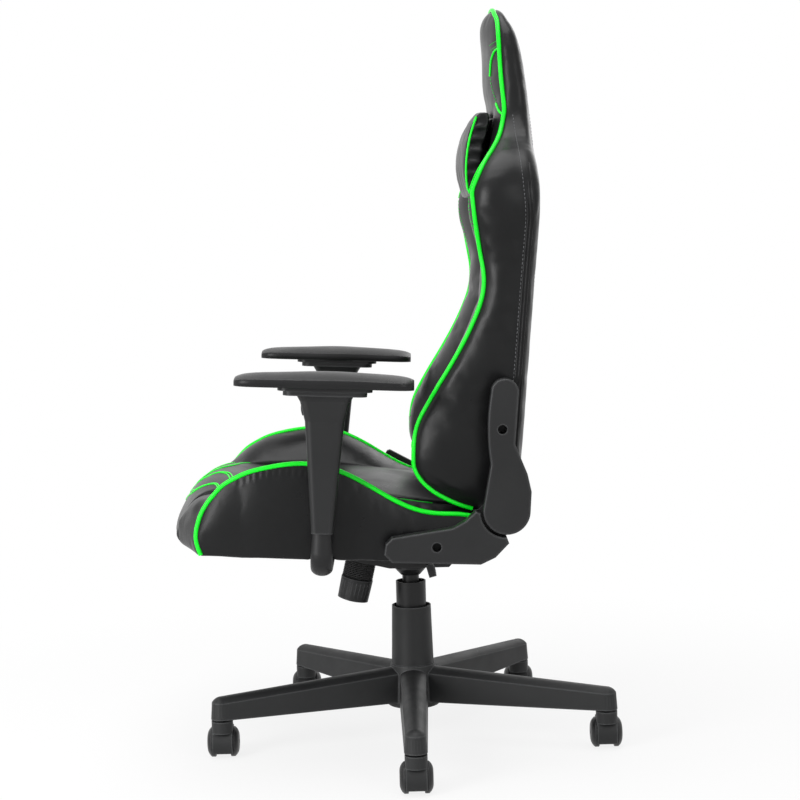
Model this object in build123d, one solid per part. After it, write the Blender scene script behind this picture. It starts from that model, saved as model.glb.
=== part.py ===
from build123d import *
import os
from math import asin, cos, degrees, hypot, pi, radians, sin, sqrt, tan

# A swivel gaming chair on a five-legged caster base, in millimetres.
# The floor is Z 0, the column axis is the Z axis, the sitter faces -Y and the sitter's left is +X.
# Seat, arms and back are drawn level and then tipped nose up by SEAT_PITCH about the tilt pin.

# Fits and clearances
RUN_FIT = 0.05
SLIDE_FIT = 0.3
SOFT_GAP = 0.5
PART_GAP = 0.4

# Five-legged base
LEG_COUNT = 5
STEM_CIRCLE = 330.0
LEG_BOTTOM = 66.0
LEG_TIP_TOP = 102.5
LEG_ROOT_TOP = 124.0
LEG_TIP_WIDTH = 36.0
LEG_ROOT_WIDTH = 48.0
LEG_ROOT_AT = 20.0
LEG_CROWN = 9.0
LEG_DRAFT = 2.0
LEG_WALL = 4.0
BAY_COUNT = 5
BAY_START = 50.0
RIB_THICKNESS = 3.5
SOCKET_LAND = 24.0
HUB_BOTTOM = 58.0
HUB_TOP = 127.0
HUB_FOOT_RADIUS = 43.0
HUB_TOP_RADIUS = 37.0

# Casters
WHEEL_RADIUS = 24.5
WHEEL_INNER = 12.3
WHEEL_OUTER = 25.7
TREAD_WIDTH = 6.5
TREAD_EDGE = 0.8
CAP_RADIUS = 8.0
CASTER_TRAIL = 12.0
HOOD_WIDTH = 33.0
HOOD_GAP = 0.9
HOOD_WALL = 2.6
HOOD_FOOT = 9.4
HOOD_REAR_ANGLE = 120.0
NECK_RADIUS = 17.5
NECK_BOTTOM = 43.0
NECK_GAP = 3.0
STEM_RADIUS = 5.5
STEM_BOTTOM = 46.0
STEM_DEPTH = 31.0
CASTER_AXLE_RADIUS = 4.0
CASTER_AXLE_LENGTH = 48.0

# Gas column
TUBE_RADIUS = 25.0
TUBE_WALL = 2.0
TUBE_TOP = 267.0
TUBE_FLOOR = 3.0
BUSH_LENGTH = 74.0
BUSH_SET_BACK = 4.0
SPINDLE_RADIUS = 14.0
SPINDLE_BOTTOM = 76.0
SPINDLE_TOP = 312.0
CONE_BOTTOM = 279.0
CONE_TOP_RADIUS = 12.6
ROD_RADIUS = 5.0
ROD_TOP = 175.0
ROD_COLLAR_RADIUS = 11.0
ROD_COLLAR = 3.0
BEARING_RADIUS = 14.0
BEARING_HEIGHT = 5.0
VALVE_RADIUS = 3.5
VALVE_LENGTH = 22.0
VALVE_PROUD = 7.0
VALVE_WELL = 6.0
COVER_FOOT_RADIUS = 35.2
COVER_TOP_RADIUS = 32.6
COVER_TOP = 226.0
COVER_WALL = 2.5

# Tilt mechanism
SEAT_PITCH = 3.0
TILT_Y = -42.0
TILT_Z = 318.0
TILT_PIN_RADIUS = 6.0
HOUSING_HALF = 70.0
HOUSING_WALL = 3.5
HOUSING_FLOOR = 300.5
HOUSING_FRONT = -118.0
HOUSING_REAR = 70.0
HOUSING_KNEE = -34.0
HOUSING_BEVEL = 7.0
HOUSING_REAR_HEIGHT = 15.0
HOUSING_CREST_Y = -25.0
HOUSING_CREST = 31.5
HOUSING_FRONT_HEIGHT = 35.5
SOCKET_FOOT = 278.0
SOCKET_FOOT_RADIUS = 16.5
SOCKET_FLARE = 289.5
SOCKET_FLARE_RADIUS = 27.0
SOCKET_RADIUS = 19.0
EAR_THICKNESS = 4.0
EAR_GAP = 1.0
EAR_EYE = 12.0
TILT_PLATE_HALF = 100.0
TILT_PLATE_FRONT = -112.0
TILT_PLATE_REAR = 92.0
TILT_PLATE_THICKNESS = 4.0

# Tension knob, on an axis that leans KNOB_LEAN from upright
KNOB_LEAN = 13.5
KNOB_Y = -89.2
KNOB_Z = 274.5
KNOB_RADIUS = 26.7
KNOB_LENGTH = 41.0
KNOB_DOME = 4.0
KNOB_WALL = 4.5
KNOB_FLOOR = 8.0
KNOB_EDGE = 1.0
BOLT_GRIP = 4.0
FLUTE_COUNT = 24
FLUTE_RADIUS = 1.2
BOLT_RADIUS = 5.0
BOOT_RADIUS = 26.0
BOOT_RIDGES = 13
BOOT_RIDGE_DEPTH = 1.8
BOOT_WALL = 2.2
BOLT_PASSAGE = 14.0
SPRING_RADIUS = 15.0
SPRING_WIRE = 2.5
SPRING_TURNS = 6

# Levers under the seat
LEVER_ROD_RADIUS = 4.0
HEIGHT_LEVER_END = -236.0
HEIGHT_GRIP_LENGTH = 88.0
HEIGHT_GRIP_WIDTH = 26.0
HEIGHT_GRIP_THICKNESS = 9.0
HEIGHT_GRIP_CORNER = 9.0
HEIGHT_GRIP_DROP = 12.0
LEVER_HOLD = 30.0
CRANK_START = 12.0
CRANK_BEND = 14.0
ROCK_FIT = 0.5
TILT_LEVER_Y = 31.0
TILT_LEVER_Z = 315.5
TILT_LEVER_END = 150.0
PADDLE_LENGTH = 45.0
PADDLE_WIDTH = 12.0
PADDLE_DROP = 16.0
PADDLE_LEAN = 15.0

# Seat, drawn level
SEAT_BOTTOM = 348.0
RAIL_SIZE = 20.0
RAIL_X = 150.0
RAIL_FRONT_Y = -290.0
RAIL_MIDDLE_Y = -95.0
RAIL_REAR_Y = 75.0
BELT_THICKNESS = 2.0
BELT_WIDTH = 38.0
BELT_YS = (-245.0, -195.0, -145.0, -40.0, 15.0)
SEAT_BOLT_X = 85.0
SEAT_BOLT_RADIUS = 4.0
SEAT_BOLT_HEAD = 6.5
SEAT_BOLT_HEAD_HEIGHT = 5.0
BACK_BOLT_HEAD = 5.5
SEAT_SEAM_X = 165.0
SEAT_REAR = 104.0
SEAT_NOSE = -385.0
SEAT_SKIRT_FRONT = -371.0
SEAT_CROWN = 9.0
SEAT_TOP = (-150.0, 451.0)
SEAT_BROW = (-318.0, 447.0)
SEAT_SLOPE = (-359.0, 414.0)
SEAT_NOSE_Z = 368.0
SEAT_CHIN = (-382.5, 355.0)
SEAT_REAR_Z = 425.0
NOSE_DRAW_IN = 13.0

# Recliner, drawn level
HINGE_Y = 142.0
HINGE_Z = 433.0
HINGE_PIN_RADIUS = 8.0
HINGE_EYE_RADIUS = 30.0
HINGE_PLATE = 5.0
HINGE_PLATE_GAP = 1.5
LOWER_PLATE_RISE = 4.0
LOWER_PLATE_FRONT = -20.0
LOWER_PLATE_REAR = 104.0
LOWER_PLATE_STEP = (60.0, 40.0)
LOWER_PLATE_NOSE = 24.0
UPPER_PLATE_BACK = 1.0
UPPER_PLATE_DEPTH = 34.0
UPPER_PLATE_TOP = 14.0
BACK_BOLT_Y = 148.0
BACK_BOLT_ZS = (500.0, 606.0)
LOBE_RADIUS = 36.0
LOBE_GAP = 4.2
SIDE_COVER_OUTER = 285.0
SIDE_COVER_INNER = 262.6
SIDE_COVER_WALL = 2.5
COVER_HOLE_RADIUS = 7.0
COVER_BOSS_WALL = 2.5
COVER_BOSS_FLOOR = 4.0
COVER_EDGE = 2.4
SEAT_COVER_HOLE = (37.1, 374.9)
BACK_COVER_HOLE = (131.3, 557.9)
RECLINE_LEVER_Y = 90.0
RECLINE_LEVER_Z = 385.0
RECLINE_LEVER_REACH = 150.0
RECLINE_LEVER_RISE = 26.0
RECLINE_LEVER_WIDTH = 16.0
RECLINE_LEVER_THICKNESS = 10.0
RECLINE_LEVER_SET_OUT = 6.5
RECLINE_LEVER_BEVEL = 4.0
RECLINE_LEVER_PIN = 5.0
RECLINE_LEVER_EYE = 11.0
RECLINE_LEVER_TRAVEL = 25.0

# Back, drawn level
BACK_SEAM_X = 95.0
BACK_SIDE = 248.0
BACK_FOOT = 425.0
BACK_TOP = 1215.5
BACK_NECK = 1036.0
SHELL_WALL = 4.0
CUSHION_CROWN = 8.0
SHELL_DEPTH = 38.0
BACK_TUBE = 9.0
HEAD_TUBE = 8.0
BACK_LEG_X = 200.0
HEAD_TUBE_X = 88.0
FRAME_BEND = 32.0
FRAME_FOOT = (147.0, 475.0)
FRAME_SHOULDER = (163.4, 872.0)
FRAME_CROWN = (139.5, 1120.0)
BACK_BOSS_RADIUS = 6.0

# Arms, drawn level
ARM_X = 293.7
ARM_Y = -137.5
BRACKET_HALF_WIDTH = 17.0
BRACKET_HALF_THICKNESS = 12.0
BRACKET_BEND = 26.0
BRACKET_TAPER = 2.0
BRACKET_INNER_X = 112.0
BAR_LENGTH = 22.0
BAR_THICKNESS = 9.0
BAR_TOP = 560.0
BAR_CORNER = 2.0
BAR_HEADROOM = 8.0
POST_BOTTOM = 394.0
FLANGE_BOTTOM = 604.5
FLANGE_THICKNESS = 7.0
FLANGE_LENGTH = 126.0
FLANGE_WIDTH = 66.0
PAD_PLATE_LENGTH = 142.0
PAD_PLATE_WIDTH = 78.0
PAD_PLATE_THICKNESS = 5.0
KEY_LENGTH = 30.0
KEY_WIDTH = 16.0
KEY_DEPTH = 5.0
PAD_TRAVEL = 25.0
BUTTON_WIDTH = 12.0
BUTTON_HEIGHT = 15.0
BUTTON_DEPTH = 13.0
BUTTON_DROP = 24.0
BUTTON_FRONT = 35.2
BUTTON_TRAVEL = 3.0

# Places that follow from the sizes above
TUBE_BOTTOM = HUB_BOTTOM + 2.0
BEARING_TOP = TUBE_BOTTOM + TUBE_FLOOR + BEARING_HEIGHT
PLATE_BOTTOM = SEAT_BOTTOM - TILT_PLATE_THICKNESS
CUSHION_FLOOR = SEAT_BOTTOM + RAIL_SIZE + BELT_THICKNESS + PART_GAP
UPPER_PLATE_X = BACK_SIDE + SOFT_GAP
LOWER_PLATE_X = UPPER_PLATE_X + HINGE_PLATE + HINGE_PLATE_GAP
FLANGE_TOP = FLANGE_BOTTOM + FLANGE_THICKNESS
PAD_PLATE_BOTTOM = FLANGE_TOP + PART_GAP
PAD_BOTTOM = PAD_PLATE_BOTTOM + PAD_PLATE_THICKNESS
VALVE_TOP = SPINDLE_TOP + VALVE_PROUD
BUTTON_Z = FLANGE_BOTTOM - BUTTON_DROP
HEIGHT_LEVER_Z = VALVE_TOP + PART_GAP + LEVER_ROD_RADIUS
SIDES = (("left", 1), ("right", -1))

# Outline of the back from the front: half-width and height, each run an arc through three points.
BACK_EDGE = (
    ((226.0, BACK_FOOT), (242.0, 462.0), (BACK_SIDE, 505.0)),
    ((BACK_SIDE, 740.0), (251.0, 842.0), (260.0, 902.0)),
    ((260.0, 902.0), (248.0, 948.0), (212.0, 984.0)),
    ((212.0, 984.0), (171.0, 1014.0), (150.0, 1052.0)),
    ((150.0, 1052.0), (146.5, 1100.0), (139.0, 1142.0)),
    ((139.0, 1142.0), (112.0, 1190.0), (58.0, 1209.0)),
)
# Rear face of the back and front rim of its shell, from the side: each run an arc through three points.
# Both run a little past the foot and the top of the back.
REAR_LINE = (
    ((157.5, 400.0), (169.0, 640.0), (178.8, 890.0)),
    ((178.8, 890.0), (168.5, 1015.0), (127.0, 1235.0)),
)
RIM_LINE = (
    ((133.1, 400.0), (142.5, 640.0), (153.5, 880.0)),
    ((153.5, 880.0), (141.5, 1005.0), (110.5, 1235.0)),
)


# Drawing helpers

def trace(place, start, *moves):
    """Closed wire; place maps (u, v) to a point, a move is an end or (point on the arc, end)."""
    edges = []
    here = start
    for move in moves:
        end = move
        if isinstance(move[0], tuple):
            end = move[1]
            edges.append(Edge.make_three_point_arc(place(here), place(move[0]), place(end)))
        else:
            edges.append(Edge.make_line(place(here), place(end)))
        here = end
    if here != start:
        edges.append(Edge.make_line(place(here), place(start)))
    return Wire(edges)


def on_x(x):
    return lambda point: (x, point[0], point[1])


def on_y(y):
    return lambda point: (point[0], y, point[1])


def on_z(z):
    return lambda point: (point[0], point[1], z)


def slab_x(x0, x1, start, *moves):
    """Prism of an outline in (Y, Z), from x0 to x1."""
    return Solid.extrude(Face(trace(on_x(x0), start, *moves)), Vector(x1 - x0, 0, 0))


def slab_y(y0, y1, start, *moves):
    """Prism of an outline in (X, Z), from y0 to y1."""
    return Solid.extrude(Face(trace(on_y(y0), start, *moves)), Vector(0, y1 - y0, 0))


def turned(start, *moves):
    """Solid of revolution about Z of an outline in (radius, Z)."""
    return Solid.revolve(Face(trace(on_y(0), start, *moves)), 360, Axis.Z)


def block(x0, x1, y0, y1, z0, z1):
    box = Box(x1 - x0, y1 - y0, z1 - z0)
    return box.moved(Location(((x0 + x1) / 2, (y0 + y1) / 2, (z0 + z1) / 2)))


def rod_between(start, end, radius):
    run = Vector(end) - Vector(start)
    plane = Plane(origin=start, z_dir=run)
    return Solid.make_cylinder(radius, run.length, plane)


def one(shape):
    """The single solid of a finished boolean."""
    return shape.solids()[0]


def tipped(shape):
    """Seat, arm and back pieces at their resting pitch."""
    return shape.rotate(Axis((0, TILT_Y, TILT_Z), (1, 0, 0)), -SEAT_PITCH)


def mirrored(shape, side):
    return shape if side > 0 else shape.mirror(Plane.YZ)


def save(shape, node):
    export_step(shape, "parts/" + node + ".step")


def circle_through(a, b, c):
    """Centre and radius of the circle through three points of a plane."""
    d = 2 * (a[0] * (b[1] - c[1]) + b[0] * (c[1] - a[1]) + c[0] * (a[1] - b[1]))
    squares = [p[0] ** 2 + p[1] ** 2 for p in (a, b, c)]
    u = (squares[0] * (b[1] - c[1]) + squares[1] * (c[1] - a[1]) + squares[2] * (a[1] - b[1])) / d
    v = (squares[0] * (c[0] - b[0]) + squares[1] * (a[0] - c[0]) + squares[2] * (b[0] - a[0])) / d
    return u, v, hypot(a[0] - u, a[1] - v)


def arc_at(run, z):
    """First coordinate at height z on an arc through three points (first coordinate, z)."""
    u, v, radius = circle_through(*run)
    reach = sqrt(max(radius ** 2 - (z - v) ** 2, 0.0))
    return u + reach if run[1][0] > u else u - reach


def half_width(z):
    """Half-width of the back's outline at height z."""
    for run in BACK_EDGE:
        if run[0][1] <= z <= run[2][1]:
            return arc_at(run, z)
    return BACK_SIDE


def along(runs, z):
    """Y at height z on a line made of arcs."""
    for run in runs:
        if z <= run[2][1]:
            return arc_at(run, z)
    return runs[-1][2][0]


# Base and casters

def blend(start, end, share):
    return start + (end - start) * share


def leg_section(reach, inset):
    """Wire across a leg at this distance from the column; inset draws the hollow."""
    share = (reach - LEG_ROOT_AT) / (STEM_CIRCLE - LEG_ROOT_AT)
    half = blend(LEG_ROOT_WIDTH, LEG_TIP_WIDTH, share) / 2 - inset
    top = blend(LEG_ROOT_TOP, LEG_TIP_TOP, share) - inset
    floor = LEG_BOTTOM - (1.0 if inset else 0.0)
    shoulder = half - LEG_DRAFT
    left = (-shoulder, top - LEG_CROWN)
    right = (shoulder, top - LEG_CROWN)
    return trace(on_x(reach), (-half, floor), (half, floor), right, ((0, top), left))


def leg_tip():
    """Bull nose about the caster stem."""
    half = LEG_TIP_WIDTH / 2
    shoulder = half - LEG_DRAFT
    low = LEG_TIP_TOP - LEG_CROWN
    _, centre, radius = circle_through((-shoulder, low), (0, LEG_TIP_TOP), (shoulder, low))
    middle = (shoulder / 2, centre + sqrt(radius ** 2 - shoulder ** 2 / 4))
    nose = turned((0, LEG_BOTTOM), (half, LEG_BOTTOM), (shoulder, low), (middle, (0, LEG_TIP_TOP)))
    return nose.moved(Location((STEM_CIRCLE, 0, 0)))


def leg():
    body = Solid.make_loft([leg_section(LEG_ROOT_AT, 0), leg_section(STEM_CIRCLE, 0)], True)
    body = body + leg_tip()
    pitch = (STEM_CIRCLE - SOCKET_LAND - BAY_START) / BAY_COUNT
    for bay in range(BAY_COUNT):
        near = BAY_START + bay * pitch
        far = near + pitch - RIB_THICKNESS
        body = body - Solid.make_loft([leg_section(near, LEG_WALL), leg_section(far, LEG_WALL)], True)
    socket = Solid.make_cylinder(STEM_RADIUS + RUN_FIT, STEM_DEPTH + 1.0)
    return body - socket.moved(Location((STEM_CIRCLE, 0, LEG_BOTTOM)))


def leg_angle(index):
    return index * 360.0 / LEG_COUNT


def star_base():
    shoulder = HUB_TOP - LEG_CROWN
    body = turned((0, HUB_BOTTOM), (HUB_FOOT_RADIUS, HUB_BOTTOM), (HUB_TOP_RADIUS + LEG_DRAFT, shoulder),
                  (HUB_TOP_RADIUS, HUB_TOP), (0, HUB_TOP))
    arm = leg()
    for index in range(LEG_COUNT):
        body = body + arm.rotate(Axis.Z, leg_angle(index))
    bore = Solid.make_cylinder(TUBE_RADIUS, HUB_TOP - HUB_BOTTOM + 2)
    return one(body - bore.moved(Location((0, 0, HUB_BOTTOM - 1))))


def around_axle(radius, angle):
    return (-CASTER_TRAIL + radius * cos(radians(angle)), WHEEL_RADIUS + radius * sin(radians(angle)))


def caster_hood():
    """Hood, open towards -X, with its stem."""
    inside = WHEEL_RADIUS + HOOD_GAP
    outside = inside + HOOD_WALL
    low = degrees(asin((HOOD_FOOT - WHEEL_RADIUS) / outside))
    middle = (low + HOOD_REAR_ANGLE) / 2
    half = HOOD_WIDTH / 2
    rear = HOOD_REAR_ANGLE
    hood = slab_y(-half, half, around_axle(outside, low),
                  (around_axle(outside, middle), around_axle(outside, rear)), around_axle(inside, rear),
                  (around_axle(inside, middle), around_axle(inside, low)))
    neck_top = LEG_BOTTOM - NECK_GAP
    neck = Solid.make_cylinder(NECK_RADIUS, neck_top - NECK_BOTTOM).moved(Location((0, 0, NECK_BOTTOM)))
    hub_gap = WHEEL_INNER - SOFT_GAP
    axle = Plane(origin=(-CASTER_TRAIL, 0, WHEEL_RADIUS), z_dir=(0, 1, 0))
    room = Solid.make_cylinder(inside, 2 * WHEEL_OUTER, axle.offset(-WHEEL_OUTER))
    rim = inside + HOOD_WALL / 5
    web_low = degrees(asin((HOOD_FOOT - WHEEL_RADIUS) / rim))
    web = slab_y(-hub_gap, hub_gap, around_axle(rim, web_low),
                 (around_axle(rim, 90), around_axle(rim, 180 - web_low)))
    body = hood + (neck - room) + web
    bore = Solid.make_cylinder(CASTER_AXLE_RADIUS + RUN_FIT, 2 * WHEEL_OUTER, axle.offset(-WHEEL_OUTER))
    stem_length = LEG_BOTTOM + STEM_DEPTH - STEM_BOTTOM
    stem = Solid.make_cylinder(STEM_RADIUS, stem_length).moved(Location((0, 0, STEM_BOTTOM)))
    return Compound([one(body - bore - stem), stem])


def caster_wheels():
    """Two wheels pressed on one axle."""
    cap_edge = (WHEEL_OUTER - 1.9, 0.76 * WHEEL_RADIUS)
    inner_edge = (WHEEL_INNER, WHEEL_RADIUS - TREAD_EDGE)
    tread_start = (WHEEL_INNER + TREAD_EDGE, WHEEL_RADIUS)
    tread_end = (WHEEL_INNER + TREAD_WIDTH, WHEEL_RADIUS)
    outline = trace(lambda p: (-CASTER_TRAIL, p[0], WHEEL_RADIUS + p[1]), (WHEEL_INNER, CASTER_AXLE_RADIUS),
                    inner_edge, tread_start, tread_end, (cap_edge, (WHEEL_OUTER, CAP_RADIUS)),
                    (WHEEL_OUTER, CASTER_AXLE_RADIUS))
    spin = Axis((-CASTER_TRAIL, 0, WHEEL_RADIUS), (0, 1, 0))
    wheel = Solid.revolve(Face(outline), 360, spin)
    end = (-CASTER_TRAIL, CASTER_AXLE_LENGTH / 2, WHEEL_RADIUS)
    axle = rod_between((end[0], -end[1], end[2]), end, CASTER_AXLE_RADIUS)
    return Compound([wheel, wheel.mirror(Plane.XZ), axle])


def caster_place(index):
    angle = radians(leg_angle(index))
    return Location((STEM_CIRCLE * cos(angle), STEM_CIRCLE * sin(angle), 0))


# Gas column

def stand_tube():
    inner = TUBE_RADIUS - TUBE_WALL
    hole = ROD_RADIUS + RUN_FIT
    floor = TUBE_BOTTOM + TUBE_FLOOR
    return turned((hole, TUBE_BOTTOM), (TUBE_RADIUS, TUBE_BOTTOM), (TUBE_RADIUS, TUBE_TOP), (inner, TUBE_TOP),
                  (inner, floor), (hole, floor))


def guide_bush():
    top = TUBE_TOP - BUSH_SET_BACK
    inner = SPINDLE_RADIUS + RUN_FIT
    outer = TUBE_RADIUS - TUBE_WALL
    return turned((inner, top - BUSH_LENGTH), (outer, top - BUSH_LENGTH), (outer, top), (inner, top))


def thrust_bearing():
    inner = ROD_RADIUS + RUN_FIT
    low = BEARING_TOP - BEARING_HEIGHT
    return turned((inner, low), (BEARING_RADIUS, low), (BEARING_RADIUS, BEARING_TOP), (inner, BEARING_TOP))


def column_cover():
    return turned((COVER_FOOT_RADIUS - COVER_WALL, HUB_TOP), (COVER_FOOT_RADIUS, HUB_TOP),
                  (COVER_TOP_RADIUS, COVER_TOP), (COVER_TOP_RADIUS - COVER_WALL, COVER_TOP))


def piston_rod():
    """Rod that turns in the tube's floor, with the collar that rides on the thrust bearing."""
    collar = BEARING_TOP + PART_GAP
    foot = TUBE_BOTTOM - PART_GAP
    clip = foot - ROD_COLLAR / 2
    return turned((0, clip), (ROD_COLLAR_RADIUS, clip), (ROD_COLLAR_RADIUS, foot), (ROD_RADIUS, foot),
                  (ROD_RADIUS, collar), (ROD_COLLAR_RADIUS, collar), (ROD_COLLAR_RADIUS, collar + ROD_COLLAR),
                  (ROD_RADIUS, collar + ROD_COLLAR), (ROD_RADIUS, ROD_TOP), (0, ROD_TOP))


def spindle_outline():
    return turned((0, SPINDLE_BOTTOM), (SPINDLE_RADIUS, SPINDLE_BOTTOM), (SPINDLE_RADIUS, CONE_BOTTOM),
                  (CONE_TOP_RADIUS, SPINDLE_TOP), (0, SPINDLE_TOP))


def gas_spindle():
    rod_bore = Solid.make_cylinder(ROD_RADIUS + RUN_FIT, ROD_TOP - SPINDLE_BOTTOM + 6)
    valve_bore = Solid.make_cylinder(VALVE_RADIUS + RUN_FIT, VALVE_LENGTH - VALVE_PROUD + VALVE_WELL + 1)
    body = spindle_outline() - rod_bore.moved(Location((0, 0, SPINDLE_BOTTOM - 1)))
    return one(body - valve_bore.moved(Location((0, 0, VALVE_TOP - VALVE_LENGTH - VALVE_WELL))))


def valve_pin():
    return Solid.make_cylinder(VALVE_RADIUS, VALVE_LENGTH).moved(Location((0, 0, VALVE_TOP - VALVE_LENGTH)))


# Tilt mechanism

def knob_plane():
    lean = radians(KNOB_LEAN)
    return Plane(origin=(0, KNOB_Y, KNOB_Z), x_dir=(1, 0, 0), z_dir=(0, sin(lean), cos(lean)))


def on_knob_axis(shape):
    return shape.moved(Location(knob_plane()))


def boot_height():
    """Distance along the knob's axis from the knob to the sloping floor of the housing."""
    lean = radians(KNOB_LEAN)
    return (HOUSING_KNEE - KNOB_Y) * sin(lean) + (HOUSING_FLOOR - KNOB_Z) * cos(lean)


def bolt_top():
    """Distance along the knob's axis from the knob to the end of its bolt, against the tilt plate."""
    pitch = radians(SEAT_PITCH)
    lean = radians(KNOB_LEAN) - pitch
    knob_rise = (KNOB_Y - TILT_Y) * sin(pitch) + (KNOB_Z - TILT_Z) * cos(pitch)
    rise = PLATE_BOTTOM - TILT_Z - knob_rise
    return (rise - BOLT_RADIUS * sin(lean) - RUN_FIT) / cos(lean)


def tilt_housing():
    """Pressed steel tray with the socket for the column's cone."""
    slope = tan(radians(KNOB_LEAN))
    front_floor = HOUSING_FLOOR + (HOUSING_KNEE - HOUSING_FRONT) * slope
    low, front, rear, bevel = HOUSING_FLOOR, HOUSING_FRONT, HOUSING_REAR, HOUSING_BEVEL
    crest = (HOUSING_CREST_Y, low + HOUSING_CREST)
    outer = slab_x(-HOUSING_HALF, HOUSING_HALF, (front, front_floor), (HOUSING_KNEE, low),
                   (rear - bevel, low), (rear, low + bevel), (rear, low + HOUSING_REAR_HEIGHT), crest,
                   (front, low + HOUSING_FRONT_HEIGHT))
    wall = HOUSING_WALL
    half = HOUSING_HALF - wall
    above = low + 2 * HOUSING_FRONT_HEIGHT
    inner = slab_x(-half, half, (front + wall, front_floor + wall * (1 - slope)), (HOUSING_KNEE, low + wall),
                   (rear - bevel - wall, low + wall), (rear - wall, low + bevel + wall), (rear - wall, above),
                   (front + wall, above))
    socket_top = SPINDLE_TOP - 1
    socket = turned((0, SOCKET_FOOT), (SOCKET_FOOT_RADIUS, SOCKET_FOOT), (SOCKET_FLARE_RADIUS, SOCKET_FLARE),
                    (SOCKET_FLARE_RADIUS, low + wall), (SOCKET_RADIUS, low + 2 * wall),
                    (SOCKET_RADIUS, socket_top), (0, socket_top))
    body = outer - inner + socket - spindle_outline()
    reach = HOUSING_HALF + 10
    body = body - rod_between((-reach, TILT_Y, TILT_Z), (reach, TILT_Y, TILT_Z), TILT_PIN_RADIUS)
    y, z = TILT_LEVER_Y, TILT_LEVER_Z
    body = body - rod_between((half - wall, y, z), (reach, y, z), LEVER_ROD_RADIUS + RUN_FIT)
    z = HEIGHT_LEVER_Z
    body = body - rod_between((-reach, 0, z), (wall - half, 0, z), LEVER_ROD_RADIUS + ROCK_FIT)
    passage = Solid.make_cylinder(BOLT_PASSAGE, 4 * wall).moved(Location((0, 0, boot_height() - wall)))
    return one(body - on_knob_axis(passage))


def tilt_pin():
    reach = HOUSING_HALF + EAR_GAP + EAR_THICKNESS + 2
    return rod_between((-reach, TILT_Y, TILT_Z), (reach, TILT_Y, TILT_Z), TILT_PIN_RADIUS)


def height_lever():
    """Rod over the valve pin, through the right wall, cranked down to its grip."""
    z = HEIGHT_LEVER_Z
    low = z - HEIGHT_GRIP_DROP
    grip_start = HEIGHT_LEVER_END + HEIGHT_GRIP_LENGTH
    inner_end = VALVE_RADIUS + PART_GAP + LEVER_ROD_RADIUS / 2
    path = [(inner_end, 0, z), (-HOUSING_HALF - CRANK_START, 0, z), (grip_start, 0, low),
            (grip_start - LEVER_HOLD, 0, low)]
    rod = tube_along(path, CRANK_BEND, LEVER_ROD_RADIUS, False)
    grip = RectangleRounded(HEIGHT_GRIP_LENGTH, HEIGHT_GRIP_WIDTH, HEIGHT_GRIP_CORNER)
    middle = ((HEIGHT_LEVER_END + grip_start) / 2, 0, low - HEIGHT_GRIP_THICKNESS / 2)
    return one(rod + extrude(grip, HEIGHT_GRIP_THICKNESS).moved(Location(middle)))


def tilt_lever():
    """Rod out of the left wall with a hanging paddle."""
    y, z = TILT_LEVER_Y, TILT_LEVER_Z
    start = TILT_LEVER_END - PADDLE_LENGTH
    rod = rod_between((HOUSING_HALF - HOUSING_WALL - 4, y, z), (start + 10, y, z), LEVER_ROD_RADIUS)
    half = PADDLE_WIDTH / 2
    paddle = slab_x(start, TILT_LEVER_END, (y - half, z), ((y, z + half), (y + half, z)),
                    (y + half, z - PADDLE_DROP), (y - half, z - PADDLE_DROP))
    paddle = paddle.rotate(Axis((0, y, z), (1, 0, 0)), PADDLE_LEAN)
    return one(rod + paddle)


def tension_knob():
    cup = KNOB_RADIUS - KNOB_WALL
    floor = KNOB_FLOOR - KNOB_LENGTH
    hole = BOLT_RADIUS + RUN_FIT
    well = floor - BOLT_GRIP
    rim = KNOB_RADIUS - KNOB_EDGE
    dome = ((KNOB_RADIUS / 2, 0.3 * KNOB_DOME - KNOB_LENGTH), (rim, KNOB_DOME - KNOB_LENGTH))
    body = turned((0, -KNOB_LENGTH), dome, (KNOB_RADIUS, -KNOB_EDGE), (rim, 0),
                  (cup, 0), (cup, floor), (hole, floor), (hole, well), (0, well))
    for flute in range(FLUTE_COUNT):
        angle = radians(flute * 360.0 / FLUTE_COUNT)
        groove = Solid.make_cylinder(FLUTE_RADIUS, KNOB_LENGTH)
        spot = ((KNOB_RADIUS + 0.3) * cos(angle), (KNOB_RADIUS + 0.3) * sin(angle), -KNOB_LENGTH - 6)
        body = body - groove.moved(Location(spot))
    return on_knob_axis(one(body))


def tension_bolt():
    low = KNOB_FLOOR - KNOB_LENGTH - BOLT_GRIP + PART_GAP
    return on_knob_axis(Solid.make_cylinder(BOLT_RADIUS, bolt_top() - low).moved(Location((0, 0, low))))


def tension_boot():
    """Ridged rubber sleeve between the knob and the housing."""
    low = PART_GAP
    pitch = (boot_height() - 2 * PART_GAP) / BOOT_RIDGES
    root = BOOT_RADIUS - BOOT_RIDGE_DEPTH
    inner = root - BOOT_WALL
    moves = [(root, low)]
    for ridge in range(BOOT_RIDGES):
        moves.append((BOOT_RADIUS, low + (ridge + 0.5) * pitch))
        moves.append((root, low + (ridge + 1) * pitch))
    moves.append((inner, low + BOOT_RIDGES * pitch))
    return on_knob_axis(turned((inner, low), *moves))


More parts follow.
